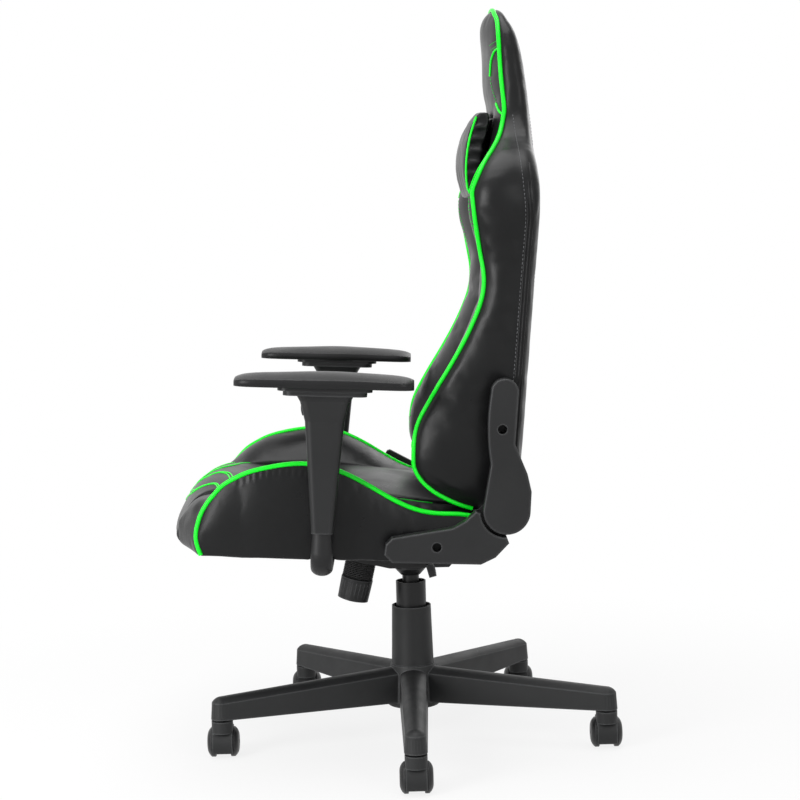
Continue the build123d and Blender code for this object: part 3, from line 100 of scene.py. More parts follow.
# The part of a noise that is spread over a whole range of colour or roughness
NOISE_LOW = 0.3
NOISE_HIGH = 0.7

# Painted edge highlights: the cosine between the rounded and the flat face, with no highlight and with the
# full highlight
EDGE_HIGHLIGHT_NONE = 0.998
EDGE_HIGHLIGHT_FULL = 0.95
EDGE_SAMPLES = 4

# The painted highlight reaches over this many edge radii, and is this many times paler
EDGE_HIGHLIGHT_REACH = 3
EDGE_HIGHLIGHT_PALER = 3.4

# How far the roughness of plastic varies
PLASTIC_SPREAD = 0.06


def shader_of(material):
    return material.node_tree.nodes["Principled BSDF"]


def plain_finish(name, colour, roughness, **sockets):
    material = bpy.data.materials.new(name)
    material.use_nodes = True
    shader = shader_of(material)
    shader.inputs["Base Color"].default_value = (*colour, 1)
    shader.inputs["Roughness"].default_value = roughness
    for socket, value in sockets.items():
        shader.inputs[socket.replace("_", " ")].default_value = value
    return material


def add_node(material, kind, **inputs):
    made = material.node_tree.nodes.new("ShaderNode" + kind)
    for socket, value in inputs.items():
        made.inputs[socket.replace("_", " ")].default_value = value
    return made


def link(material, source, target):
    material.node_tree.links.new(source, target)


def place_node(material, stretch=(1, 1, 1)):
    """Object coordinates, stretched along the axes."""
    place = add_node(material, "TexCoord")
    mapping = add_node(material, "Mapping")
    mapping.inputs["Scale"].default_value = stretch
    link(material, place.outputs["Object"], mapping.inputs["Vector"])
    return mapping.outputs["Vector"]


def noise_node(material, place, scale, detail=2.0):
    noise = add_node(material, "TexNoise", Scale=scale, Detail=detail)
    link(material, place, noise.inputs["Vector"])
    return noise.outputs["Fac"]


def raise_bump(material, height, strength, depth):
    """Adds a layer of relief over the layers already there."""
    shader = shader_of(material)
    bump = add_node(material, "Bump", Strength=strength, Distance=depth)
    link(material, height, bump.inputs["Height"])
    under = shader.inputs["Normal"].links
    if under:
        link(material, under[0].from_socket, bump.inputs["Normal"])
    link(material, bump.outputs["Normal"], shader.inputs["Normal"])


def vary_roughness(material, height, low, high):
    span = add_node(material, "MapRange")
    span.inputs["To Min"].default_value = low
    span.inputs["To Max"].default_value = high
    span.inputs["From Min"].default_value = NOISE_LOW
    span.inputs["From Max"].default_value = NOISE_HIGH
    link(material, height, span.inputs["Value"])
    link(material, span.outputs["Result"], shader_of(material).inputs["Roughness"])


def vary_colour(material, height, low, high):
    ramp = add_node(material, "ValToRGB")
    ramp.color_ramp.elements[0].position = NOISE_LOW
    ramp.color_ramp.elements[0].color = (*low, 1)
    ramp.color_ramp.elements[1].position = NOISE_HIGH
    ramp.color_ramp.elements[1].color = (*high, 1)
    link(material, height, ramp.inputs["Fac"])
    link(material, ramp.outputs["Color"], shader_of(material).inputs["Base Color"])


def edge_node(material, radius):
    """The direction of a surface, as if its edges were rounded."""
    edge = add_node(material, "Bevel", Radius=radius)
    edge.samples = EDGE_SAMPLES
    return edge.outputs["Normal"]


def round_edges(material, radius):
    """Moulded edges are slightly rounded, and catch the light."""
    link(material, edge_node(material, radius), shader_of(material).inputs["Normal"])


def paint_edge_highlights(material, radius, highlight_colour):
    """Rounded edges are painted paler than the flats beside them: a painted highlight for the light that the
    edges catch.
    """
    rounded = edge_node(material, radius)
    true = add_node(material, "NewGeometry")
    turn = add_node(material, "VectorMath")
    turn.operation = "DOT_PRODUCT"
    link(material, rounded, turn.inputs[0])
    link(material, true.outputs["True Normal"], turn.inputs[1])
    span = add_node(material, "MapRange")
    span.inputs["From Min"].default_value = EDGE_HIGHLIGHT_NONE
    span.inputs["From Max"].default_value = EDGE_HIGHLIGHT_FULL
    span.inputs["To Min"].default_value = 0.0
    span.inputs["To Max"].default_value = 1.0
    link(material, turn.outputs["Value"], span.inputs["Value"])
    blend = add_node(material, "MixRGB")
    blend.inputs["Color2"].default_value = (*highlight_colour, 1)
    base = shader_of(material).inputs["Base Color"]
    link(material, base.links[0].from_socket, blend.inputs["Color1"])
    link(material, span.outputs["Result"], blend.inputs["Fac"])
    link(material, blend.outputs["Color"], base)


def leather(name, low, high, grain=620):
    """Soft coated leather: pebbled grain with fine pores, slack ripples and a sheen rubbed patchy by use."""
    material = plain_finish(name, high, roughness=0.34, Specular_IOR_Level=0.19)
    place = place_node(material)
    pebble = add_node(material, "TexVoronoi", Scale=grain)
    pebble.feature = "DISTANCE_TO_EDGE"
    link(material, place, pebble.inputs["Vector"])
    raise_bump(material, noise_node(material, place, scale=24, detail=4), strength=0.16, depth=0.0016)
    raise_bump(material, pebble.outputs["Distance"], strength=0.26, depth=0.0004)
    raise_bump(material, noise_node(material, place, scale=1900), strength=0.10, depth=0.0002)
    vary_roughness(material, noise_node(material, place, scale=17, detail=5), low=0.27, high=0.38)
    vary_colour(material, noise_node(material, place, scale=6, detail=4), low, high)
    return material


def moulded(name, low, high, roughness, texture=1100, edge=0.0012):
    """Moulded plastic with a fine spark-etched skin and rounded edges."""
    material = plain_finish(name, high, roughness, Specular_IOR_Level=0.26)
    place = place_node(material)
    round_edges(material, edge)
    raise_bump(material, noise_node(material, place, texture, detail=3), strength=0.22, depth=0.00018)
    vary_roughness(material, noise_node(material, place, scale=26, detail=4),
                   low=roughness - PLASTIC_SPREAD, high=roughness + PLASTIC_SPREAD)
    vary_colour(material, noise_node(material, place, scale=9, detail=4), low, high)
    # Painted highlight: the edges are painted paler than the flats, standing in for the light they catch.
    paint_edge_highlights(material, EDGE_HIGHLIGHT_REACH * edge, tuple(EDGE_HIGHLIGHT_PALER * share for share in high))
    return material


def welt_cord(name, colour):
    """Glossy coated piping with a slight ripple from its cord."""
    material = plain_finish(name, colour, roughness=0.34, Specular_IOR_Level=0.3)
    place = place_node(material)
    raise_bump(material, noise_node(material, place, scale=240, detail=2), strength=0.12, depth=0.0004)
    raise_bump(material, noise_node(material, place, scale=1500, detail=2), strength=0.15, depth=0.0001)
    vary_roughness(material, noise_node(material, place, scale=40, detail=3), low=0.28, high=0.42)
    return material


def brushed(name, colour, roughness, stretch):
    """Metal with fine lines drawn along it."""
    material = plain_finish(name, colour, roughness, Metallic=1.0)
    place = place_node(material, stretch)
    lines = noise_node(material, place, scale=900, detail=3)
    raise_bump(material, lines, strength=0.15, depth=0.00005)
    vary_roughness(material, lines, low=roughness - 0.08, high=roughness + 0.1)
    return material


def woven(name, low, high):
    """Flat woven belt."""
    material = plain_finish(name, high, roughness=0.8)
    place = place_node(material)
    weave = add_node(material, "TexWave", Scale=260.0)
    weave.bands_direction = "Y"
    link(material, place, weave.inputs["Vector"])
    raise_bump(material, weave.outputs["Fac"], strength=0.5, depth=0.0004)
    vary_colour(material, noise_node(material, place, scale=300), low, high)
    return material


BLACK_LEATHER = leather("black_leather", (0.0056, 0.0058, 0.0060), (0.0085, 0.0088, 0.0091))
PAD_SKIN = leather("pad_skin", (0.010, 0.010, 0.0105), (0.014, 0.014, 0.0145), 900)
GREEN_WELT = welt_cord("green_welt", (0.003, 0.86, 0.020))
GREEN_THREAD = welt_cord("green_thread", (0.006, 0.62, 0.024))
DARK_THREAD = moulded("dark_thread", (0.030, 0.031, 0.033), (0.045, 0.046, 0.048), 0.6, 2400, 0.0002)
MOULDED_BLACK = moulded("moulded_black", (0.012, 0.0122, 0.0126), (0.016, 0.0163, 0.0168), 0.46)
BASE_NYLON = moulded("base_nylon", (0.015, 0.0154, 0.0158), (0.020, 0.0205, 0.021), 0.5, 700)
WHEEL_NYLON = moulded("wheel_nylon", (0.009, 0.009, 0.0094), (0.013, 0.013, 0.0135), 0.4)
POWDER_COAT = moulded("powder_coat", (0.008, 0.008, 0.0084), (0.011, 0.011, 0.0115), 0.4, 1600, 0.0006)
BOOT_RUBBER = moulded("boot_rubber", (0.008, 0.008, 0.008), (0.011, 0.011, 0.011), 0.62, 500, 0.0008)
BLACKED_STEEL = brushed("blacked_steel", (0.030, 0.030, 0.032), 0.42, (1, 1, 0.05))
BRIGHT_STEEL = brushed("bright_steel", (0.55, 0.55, 0.56), 0.28, (1, 1, 0.05))
BELT_WEAVE = woven("belt_weave", (0.012, 0.012, 0.012), (0.03, 0.03, 0.03))

SLOT_FINISH = {
    "nylon": BASE_NYLON,
    "wheel_nylon": WHEEL_NYLON,
    "moulded_black": MOULDED_BLACK,
    "black_steel": POWDER_COAT,
    "bright_steel": BRIGHT_STEEL,
    "boot_rubber": BOOT_RUBBER,
    "pad_foam": PAD_SKIN,
    "webbing": BELT_WEAVE,
    "black_leather": BLACK_LEATHER,
}
BLACKED = ("tilt_pin", "tension_bolt", "seat_bolts", "back_bolts")


def paint_frame():
    """Each CAD node in the finish of its slot; the pin and the bolts are blacked."""
    for name, node in nodes.items():
        for slot in node.material_slots:
            slot.material = SLOT_FINISH.get(slot.material.name.split(".")[0], MOULDED_BLACK)
            if name in BLACKED:
                slot.material = BLACKED_STEEL


# Upholstery, in metres

BACK_GRAIN = 0.006
SEAT_GRAIN = 0.005
PILLOW_GRAIN = 0.004
MERGE_WITHIN = 0.00005
SEAM_REACH = 0.0045
SEAM_SPACING = 0.002
LEAST_MOVE = 1e-7

# The least turn across a seam, in radians
SEAM_TURN = 0.5

# The filling: its pressure, the stiffness of the leather, and the steps that it is blown up in
FILLING_PRESSURE = 4.0
LEATHER_STIFFNESS = 0.4
FILLING_STEPS = 20

# The raised flanks of a fold: their height as a share of its depth, their place and width in half widths
FLANK_RISE = 0.5
FLANK_AT = 2
FLANK_WIDTH = 0.8


def copy_of(node, name):
    """A merged copy of a CAD node as a new piece."""
    piece = bpy.data.objects.new(name, nodes[node].data.copy())
    bpy.context.collection.objects.link(piece)
    piece.data.materials.clear()
    edit_all(piece, bpy.ops.mesh.remove_doubles, threshold=MERGE_WITHIN)
    return piece


def sharp_edges(piece):
    """Both ends of each sharp edge of a merged copy."""
    mesh = bmesh.new()
    mesh.from_mesh(piece.data)
    ends = []
    for edge in mesh.edges:
        if edge.is_manifold and edge.calc_face_angle(0) > SEAM_TURN:
            ends.append((edge.verts[0].co.copy(), edge.verts[1].co.copy()))
    mesh.free()
    return ends


def tree_of(piece):
    """The surface of a piece, for finding places on it."""
    corners = [vertex.co for vertex in piece.data.vertices]
    faces = [face.vertices for face in piece.data.polygons]
    return BVHTree.FromPolygons(corners, faces)


def joined(name, copies):
    """Several copies as one piece."""
    only(*copies)
    bpy.ops.object.join()
    copies[0].name = name
    return copies[0]


def reskin(piece, voxel):
    """One even skin round all that the piece holds; hollows inside it go."""
    only(piece)
    piece.data.remesh_voxel_size = voxel
    bpy.ops.object.voxel_remesh()
    edit_all(piece, bpy.ops.mesh.separate, type="LOOSE")
    parts = sorted(bpy.context.selected_objects, key=lambda part: -len(part.data.vertices))
    name = piece.name
    for part in parts[1:]:
        bpy.data.objects.remove(part)
    parts[0].name = name
    return parts[0]


def sewn_points(cover, seams, neighbours):
    """Vertices that stay: along the seams, and within reach of what lies against the cover."""
    spots = []
    for a, b in seams:
        count = max(2, int((b - a).length / SEAM_SPACING) + 1)
        spots += [a.lerp(b, i / (count - 1)) for i in range(count)]
    seam_tree = KDTree(len(spots))
    for index, spot in enumerate(spots):
        seam_tree.insert(spot, index)
    seam_tree.balance()
    trees = [(tree_of(nodes[name]), reach) for name, reach in neighbours.items()]
    held = []
    for vertex in cover.data.vertices:
        near = seam_tree.find(vertex.co)[2] < SEAM_REACH
        if near or any(tree.find_nearest(vertex.co, reach)[0] for tree, reach in trees):
            held.append(vertex.index)
    return held


def stuff(cover, held, swell, slack):
    """Blows the cover up like foam under leather; no point moves further than swell."""
    group = cover.vertex_groups.new(name="sewn")
    group.add(held, 1.0, "ADD")
    start = [vertex.co.copy() for vertex in cover.data.vertices]
    only(cover)
    filling = cover.modifiers.new("filling", "CLOTH")
    filling.settings.vertex_group_mass = "sewn"
    filling.settings.use_pressure = True
    filling.settings.uniform_pressure_force = FILLING_PRESSURE
    filling.settings.shrink_min = -slack
    filling.settings.effector_weights.gravity = 0
    filling.settings.bending_stiffness = LEATHER_STIFFNESS
    filling.collision_settings.use_collision = False
    for step in range(1, FILLING_STEPS + 1):
        bpy.context.scene.frame_set(step)
    bpy.ops.object.modifier_apply(modifier="filling")
    bpy.context.scene.frame_set(1)
    for vertex, rest in zip(cover.data.vertices, start):
        move = vertex.co - rest
        if move.length > LEAST_MOVE:
            vertex.co = rest + move * (swell * math.tanh(move.length / swell) / move.length)


def upholster(cover, seams, neighbours, body, solids, swell, slack=0.0):
    """Leather over foam: blown up between its seams, smoothed, and put in place of its solids."""
    held = sewn_points(cover, seams, neighbours)
    stuff(cover, held, swell, slack)
    edit_all(cover, bpy.ops.mesh.vertices_smooth, factor=0.5, repeat=2)
    cover.vertex_groups.clear()
    finer = cover.modifiers.new("finer", "SUBSURF")
    finer.levels = 1
    finer.render_levels = 1
    bpy.ops.object.modifier_apply(modifier="finer")
    bpy.ops.object.shade_smooth()
    on_body(cover, body, BLACK_LEATHER)
    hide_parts(*solids)


def cushion(node, name, body, voxel, neighbours, swell, slack=0.0, mould=None):
    """The leather cover of one foam form, and the sharp edges of that form."""
    cover = copy_of(node, name)
    seams = sharp_edges(cover)
    cover = reskin(cover, voxel)
    if mould:
        sculpt(cover, mould)
    upholster(cover, seams, neighbours, body, (node,), swell, slack)
    return cover, seams


def smooth_step(low, high, values):
    """0 up to low, 1 from high on, and an even curve between them."""
    share = np.clip((values - low) / (high - low), 0, 1)
    return share * share * (3 - 2 * share)


def vertex_rows(mesh, what):
    """The places or normals of all vertices, one in each row."""
    rows = np.empty(len(mesh.vertices) * 3)
    mesh.vertices.foreach_get(what, rows)
    return rows.reshape(-1, 3)


def put_places(mesh, places):
    mesh.vertices.foreach_set("co", places.ravel())
    mesh.update()


def sculpt(piece, mould):
    """Moves the leather as mould says, drawn level, in millimetres."""
    to_level, to_chair = np.array(LEVEL), np.array(LEAN)
    drawn = (vertex_rows(piece.data, "co") @ to_level[:3, :3].T + to_level[:3, 3]) / MM
    mould(drawn)
    put_places(piece.data, drawn * MM @ to_chair[:3, :3].T + to_chair[:3, 3])


def press_folds(piece, folds):
    """Soft valleys with raised flanks. A fold is its two ends, drawn level, its depth and its half width."""
    places = vertex_rows(piece.data, "co")
    normals = vertex_rows(piece.data, "normal")
    sunk = np.zeros(len(places))
    for start, end, depth, width in folds:
        a = np.array(leaned(*start))
        run = np.array(leaned(*end)) - a
        share = np.clip((places - a) @ run / (run @ run), 0, 1)
        away = np.linalg.norm(places - a - share[:, None] * run, axis=1) / (width * MM)
        valley = np.exp(-away ** 2) - FLANK_RISE * np.exp(-((away - FLANK_AT) / FLANK_WIDTH) ** 2)
        sunk += depth * MM * np.sqrt(np.sin(np.pi * share)) * valley
    places -= normals * sunk[:, None]
    put_places(piece.data, places)


# Piping and stitching, in metres

WELT_RADIUS = 0.0036
THIN_WELT_RADIUS = 0.0019
LINE_RADIUS = 0.0012
STITCH_LENGTH = 0.0042
STITCH_PITCH = 0.0062
STITCH_RADIUS = 0.0006
BEAD_RADIUS = 0.0018
RAY_START = 0.35

# How far the middle of a line stands above the leather, as a share of its radius
BACK_WELT_LIFT = 0.45
SEAT_WELT_LIFT = 0.4
LINE_LIFT = 0.3
SEAM_LIFT = 0.2
STITCH_LIFT = 0.4
BEAD_SINK = 0.4

# In millimetres: the step along a guide, and how far out a line seen from the side is drawn
PACE = 7
BESIDE = 250


def spaced(points, least):
    """Thins a run of points; its two ends stay."""
    kept = [points[0]]
    for point in points[1:-1]:
        if (point - kept[-1]).length >= least and (point - points[-1]).length >= least:
            kept.append(point)
    return kept + [points[-1]]


def crease_run(seams, keep, order):
    """Places along the sharp edges that keep() accepts, sorted by order(). Both see places drawn level."""
    places = []
    for edge in seams:
        middle = level((edge[0] + edge[1]) / 2)
        if keep(middle):
            places += [level(end) for end in edge]
    places.sort(key=order)
    return [leaned(*place) for place in places]


def moulded_run(run, mould):
    """A run of places, moved as the leather under it."""
    drawn = np.array([level(place) for place in run])
    mould(drawn)
    return [leaned(*place) for place in drawn]


def flowing(guide):
    """Places about a pace apart on a smooth line through all points of a guide."""
    points = [Vector(point) for point in guide]
    ends = [2 * points[0] - points[1]] + points + [2 * points[-1] - points[-2]]
    run = []
    for before, a, b, after in zip(ends, ends[1:], ends[2:], ends[3:]):
        steps = max(1, round((b - a).length / PACE))
        for step in range(steps):
            s = step / steps
            slope = (b - before) * (s - 2 * s ** 2 + s ** 3) / 2 + (after - a) * (s ** 3 - s ** 2) / 2
            run.append(a.lerp(b, s * s * (3 - 2 * s)) + slope)
    return run + [points[-1]]


def laid_on(piece, guide, towards, lift):
    """A guide drawn level, in millimetres, carried straight onto the leather and laid on it."""
    tree = tree_of(piece)
    towards = Vector(towards)
    laid = []
    for place in flowing(guide):
        spot = leaned(*place)
        hit, normal = tree.ray_cast(spot - towards * RAY_START, towards)[:2]
        if hit is None:
            hit, normal = tree.find_nearest(spot)[:2]
        laid.append(hit + normal * lift)
    return laid


def laid_beside(piece, outline, sign, lift):
    """A line seen from the side, (y, z), laid on the outside of a piece."""
    return laid_on(piece, [(sign * BESIDE, y, z) for y, z in outline], (-sign, 0, 0), lift)


def mirrored(guide, sign):
    return [(x * sign, y, z) for x, y, z in guide]


def line_curve(name, points):
    """A smooth line through the chair, as a curve."""
    bpy.ops.object.select_all(action="DESELECT")
    bpy.ops.curve.primitive_nurbs_path_add()
    line = bpy.context.object
    line.name = name
    curve = line.data
    curve.splines.clear()
    run = curve.splines.new("NURBS")
    run.points.add(len(points) - 1)
    for spot, point in zip(run.points, points):
        spot.co = (*point, 1)
    run.use_endpoint_u = True
    run.order_u = 4
    run.resolution_u = 4
    curve.dimensions = "3D"
    line.location = (0, 0, 0)
    return line


def tube(name, points, radius):
    """A round cord along a smooth line."""
    cord = line_curve(name, points)
    cord.data.bevel_depth = radius
    cord.data.bevel_resolution = 3
    cord.data.use_fill_caps = True
    only(cord)
    bpy.ops.object.convert(target="MESH")
    bpy.ops.object.shade_smooth()
    return bpy.context.object


def welt(name, points, radius, body):
    """Green piping on a body."""
    return on_body(tube(name, points, radius), body, GREEN_WELT)


def stitch_row(name, points, body, finish):
    """One stitch, repeated along a line."""
    line = line_curve(name + "_line", points)
    bpy.ops.object.select_all(action="DESELECT")
    bpy.ops.mesh.primitive_uv_sphere_add(segments=6, ring_count=4, radius=STITCH_RADIUS,
                                         rotation=(0, math.pi / 2, 0))
    row = bpy.context.object
    row.name = name
    bpy.ops.object.transform_apply(rotation=True)
    edit_all(row, bpy.ops.transform.resize, value=(STITCH_LENGTH / (2 * STITCH_RADIUS), 1, 1))
    copies = row.modifiers.new("copies", "ARRAY")
    copies.fit_type = "FIT_CURVE"
    copies.curve = line
    copies.use_relative_offset = False
    copies.use_constant_offset = True
    copies.constant_offset_displace = (STITCH_PITCH, 0, 0)
    along = row.modifiers.new("along", "CURVE")
    along.object = line
    along.deform_axis = "POS_X"
    bpy.ops.object.modifier_apply(modifier="copies")
    bpy.ops.object.modifier_apply(modifier="along")
    bpy.ops.object.shade_smooth()
    bpy.data.objects.remove(line)
    return on_body(row, body, finish)


# The back: one skin over the shell, the wings and the head, round a loose centre

BACK_SOLIDS = ("back_shell", "back_bolster_left", "back_bolster_right", "head_cushion")
TRAY_DEPTH = 0.012
CLOSING = 0.0005
PILLOW_ROOM = 0.022
BACK_WELT_SPACING = 0.009

# The foot of a wing, then the line up the wing and the head, seen from the side: (y, z), drawn level
ROLL_FOOT = ((92, 427), (66, 430), (44, 439), (26, 451), (3, 475), (-3.6, 500))
PIPING_FOOT = ((92, 429), (80, 432), (66, 437), (55, 442), (44, 447.5), (34, 453), (25, 459.5), (14, 469),
               (5, 482), (0, 500))
WING_FRONT = ((3, 550), (26, 600), (54, 650), (79, 700), (97, 750), (100, 787), (93, 824), (83, 872),
              (78, 909), (79, 921), (94.6, 958), (109, 982), (120.6, 1007), (127, 1040), (126.6, 1055),
              (121, 1103), (117, 1151), (114, 1188))

# The line over the head, left half, from the side to the middle: (x, y), drawn level
HEAD_TOP = ((104, 111), (80, 110), (45, 109), (0, 109))
HEAD_ABOVE = 1200

# Thin lines on the left half of the back: (x, y, z), drawn level
HEAD_ARC = ((126, 120, 1142), (114, 113, 1139), (103, 110, 1131), (94, 109, 1120), (89, 110, 1101))
HEAD_EDGE = ((89, 110, 1101), (93, 111, 1088), (102, 113, 1074), (112, 116, 1056))
HEAD_FOOT = ((112, 116, 1056), (126, 119, 1047), (147, 124, 1037))
HEAD_ROW_UPPER = ((90, 107, 1149), (108, 111, 1152), (124, 119, 1155))
HEAD_ROW_LOWER = ((97, 108, 1141), (112, 112, 1144), (126, 120, 1147))
WING_LINE = ((186, 110, 990), (204, 100, 973), (215, 93, 958), (223, 80, 936), (228, 74, 912))
WING_EDGE = ((229, 74, 906), (230, 74, 880), (226, 80, 850), (222, 85, 830))
WING_ROW = ((212, 72, 892), (200, 78, 872), (190, 86, 852), (182, 94, 832))
WING_CROSS = ((236, 0, 516), (222, -5, 520), (204, -5, 527))
REAR_PANEL = ((0, 150, 1178), (52, 150, 1170), (84, 150, 1120), (100, 155, 1050), (140, 165, 985),
              (196, 175, 930), (206, 178, 880), (196, 175, 760), (190, 170, 640), (186, 165, 520),
              (120, 160, 470), (0, 160, 462))

FRONT_LINES = (("head_arc_", HEAD_ARC, THIN_WELT_RADIUS), ("head_foot_", HEAD_FOOT, THIN_WELT_RADIUS),
               ("wing_line_", WING_LINE, LINE_RADIUS), ("wing_cross_", WING_CROSS, LINE_RADIUS))
FRONT_ROWS = (("head_edge_", HEAD_EDGE), ("wing_row_", WING_ROW), ("wing_edge_", WING_EDGE),
              ("head_row_0_", HEAD_ROW_UPPER), ("head_row_1_", HEAD_ROW_LOWER))

# The seam between the wings and the rear panel, seen from the side, drawn level. It leans back up to
# its turn, and forward above it.
RIM_FOOT_Y = 133
RIM_FOOT_Z = 400
RIM_RAKE = 0.0425
RIM_TURN_Y = 153.5
RIM_TURN_Z = 880
RIM_RETURN = 0.121
RIM_HEIGHTS = (RIM_FOOT_Z, RIM_TURN_Z, 1040)

# The strip behind that seam: its stitches, and how far behind the seam each bead runs
STRIP_BESIDE = 260
STRIP_STEP = 24
STRIP_ROW = 5
STRIP_ROW_FOOT = 520
STRIP_ROW_TOP = 1036
STRIP_BEADS = (8, 13, 18)
BEAD_FOOT = 470
BEAD_TOP = 905
BEAD_TOP_STEP = 28

# How far the leather stands out on the side of a wing: (z, crown), drawn level. It fades out towards
# the hinge, and starts further in where the neck narrows.
WING_CROWN = ((430, 1), (470, 7), (540, 9), (620, 8), (700, 5.5), (790, 5), (860, 8), (930, 9), (985, 5),
              (1030, 0))
CROWN_PEAK = 0.55
CROWN_OUT = (205, 225)
NECK_NARROWS = (930, 1010)
NECK_NARROWER = 45
HINGE_Y = (100, 122)
HINGE_Z = (640, 680)

# The roll of a wing ahead of the piping: the share of it that stays, and where it begins and ends
ROLL_SHARE = 0.3
ROLL_OUT = (130, 200)
ROLL_TOP = (800, 880)

# The foot of a wing hangs a little lower towards the rear
FOOT_DROP = 5
FOOT_Y = (48, 74)
FOOT_Z = (432, 452)
FOOT_OUT = (170, 210)

# The top of the head is rounded from this height up
HEAD_ROUND = 1168
HEAD_SLOPE = 0.3
HEAD_REAR = (116, 134)

# Where the head and the wings meet
NECK_LOW = 1000
NECK_HIGH = 1074
NECK_REAR = 130
NECK_SMOOTHING = 24


def rear_rim(z):
    """Y of the seam between the wings and the rear panel, drawn level."""
    if z < RIM_TURN_Z:
        return RIM_FOOT_Y + (z - RIM_FOOT_Z) * RIM_RAKE
    return RIM_TURN_Y - (z - RIM_TURN_Z) * RIM_RETURN


def rear_strip(behind, low, high):
    """A line down the side of the back, behind the seam of the rear panel, drawn level."""
    return [(STRIP_BESIDE, rear_rim(z) + behind, z) for z in range(high, low, -STRIP_STEP)]


def mould_wings(drawn):
    """Draws the rolls of the wings in towards the piping, plumps their sides, most of all near the front,
    and rounds the top of the head."""
    out, y, z = np.abs(drawn[:, 0]), drawn[:, 1].copy(), drawn[:, 2]
    front = ROLL_FOOT + WING_FRONT
    piping = np.interp(z, [place[1] for place in front], [place[0] for place in front])
    rim = np.interp(z, RIM_HEIGHTS, [rear_rim(height) for height in RIM_HEIGHTS])

    ahead = np.clip(piping - y, 0, None)
    drawn_in = smooth_step(*ROLL_OUT, out) * (1 - smooth_step(*ROLL_TOP, z)) * (1 - ROLL_SHARE)
    drawn[:, 1] += ahead * drawn_in
    drawn[:, 1] -= np.clip(z - HEAD_ROUND, 0, None) * HEAD_SLOPE * smooth_step(*HEAD_REAR, y)
    foot = FOOT_DROP * smooth_step(*FOOT_Y, y) * (1 - smooth_step(*FOOT_Z, z))
    drawn[:, 2] -= foot * smooth_step(*FOOT_OUT, out)

    share = np.clip((y - piping) / (rim - piping), 0, 1)
    crown = np.interp(z, [place[0] for place in WING_CROWN], [place[1] for place in WING_CROWN])
    crown *= smooth_step(*CROWN_OUT, out + NECK_NARROWER * smooth_step(*NECK_NARROWS, z))
    crown *= 1 - smooth_step(*HINGE_Y, y) * (1 - smooth_step(*HINGE_Z, z))
    drawn[:, 0] += crown * np.sin(np.pi * share ** CROWN_PEAK) * np.sign(drawn[:, 0])


def ease_neck(cover):
    """Draws the head and the wings together where they meet at the neck."""
    only(cover)
    for vertex in cover.data.vertices:
        place = level(vertex.co)
        vertex.select = NECK_LOW < place.z < NECK_HIGH and place.y < NECK_REAR
    bpy.ops.object.mode_set(mode="EDIT")
    bpy.ops.mesh.select_mode(type="VERT")
    bpy.ops.mesh.vertices_smooth(factor=0.5, repeat=NECK_SMOOTHING)
    bpy.ops.object.mode_set(mode="OBJECT")


def back_piping(cover, sign, lift):
    return laid_beside(cover, PIPING_FOOT + WING_FRONT, sign, lift)


def back_skin():
    """Copies of the shell, the wings and the head grown together, closed behind the loose centre."""
    copies = [copy_of(node, "form_" + node) for node in BACK_SOLIDS]
    seams = [edge for form in copies for edge in sharp_edges(form)]
    tray = copy_of("back_cushion", "form_tray")
    edit_all(tray, bpy.ops.transform.translate, value=(0, TRAY_DEPTH, 0))
    for form in copies + [tray]:
        edit_all(form, bpy.ops.transform.shrink_fatten, value=CLOSING)
    cover = reskin(joined("back_upholstery", copies + [tray]), BACK_GRAIN)
    sculpt(cover, mould_wings)
    ease_neck(cover)
    near = {"back_cushion": SEAM_REACH, "head_pillow": PILLOW_ROOM}
    for side, sign in SIDES:
        run = back_piping(cover, sign, 0)
        seams += list(zip(run, run[1:]))
        for node in ("recliner_upper_", "back_cover_", "seat_cover_"):
            near[node + side] = SEAM_REACH
    upholster(cover, seams, near, "back", BACK_SOLIDS, swell=0.003, slack=0.01)
    return cover


def back_folds(sign):
    """Slack in the side of the wing above the hinge."""
    return [((sign * 240, 30, 466), (sign * 244, 74, 446), 0.9, 6),
            ((sign * 240, 16, 480), (sign * 246, 52, 464), 0.8, 5)]


def back_welt(cover):
    """The piping up one wing, over the head and down the other wing."""
    lift = WELT_RADIUS * BACK_WELT_LIFT
    left = back_piping(cover, 1, lift)
    right = back_piping(cover, -1, lift)
    half = [(x, y, HEAD_ABOVE) for x, y in HEAD_TOP]
    crest = laid_on(cover, half + mirrored(half[-2::-1], -1), DOWN, lift)
    welt("back_welt", spaced(left + crest + right[::-1], BACK_WELT_SPACING), WELT_RADIUS, "back")


def front_lines(cover, side, sign):
    """Thin piping and rows of stitches on the front of the head and the wing."""
    for name, guide, radius in FRONT_LINES:
        run = laid_on(cover, mirrored(guide, sign), REARWARD, radius * LINE_LIFT)
        welt(name + side, run, radius, "back")
    for name, guide in FRONT_ROWS:
        run = laid_on(cover, mirrored(guide, sign), REARWARD, STITCH_RADIUS * STITCH_LIFT)
        stitch_row(name + side, run, "back", GREEN_THREAD)


def rear_lines(cover, side, sign):
    """Dark stitches along the rear panel, and the beads down the strip beside it."""
    inward = (-sign, 0, 0)
    seam = rear_strip(STRIP_ROW, STRIP_ROW_FOOT, STRIP_ROW_TOP)
    for name, guide, towards in (("rear_seam_", seam, inward), ("rear_panel_row_", REAR_PANEL, FORWARD)):
        run = laid_on(cover, mirrored(guide, sign), towards, STITCH_RADIUS * STITCH_LIFT)
        stitch_row(name + side, run, "back", DARK_THREAD)
    for number, behind in enumerate(STRIP_BEADS):
        strip = rear_strip(behind, BEAD_FOOT, BEAD_TOP + number * BEAD_TOP_STEP)
        run = laid_on(cover, mirrored(strip, sign), inward, -BEAD_RADIUS * BEAD_SINK)
        bead = tube("rear_bead_%d_%s" % (number, side), run, BEAD_RADIUS)
        on_body(bead, "back", BLACK_LEATHER)


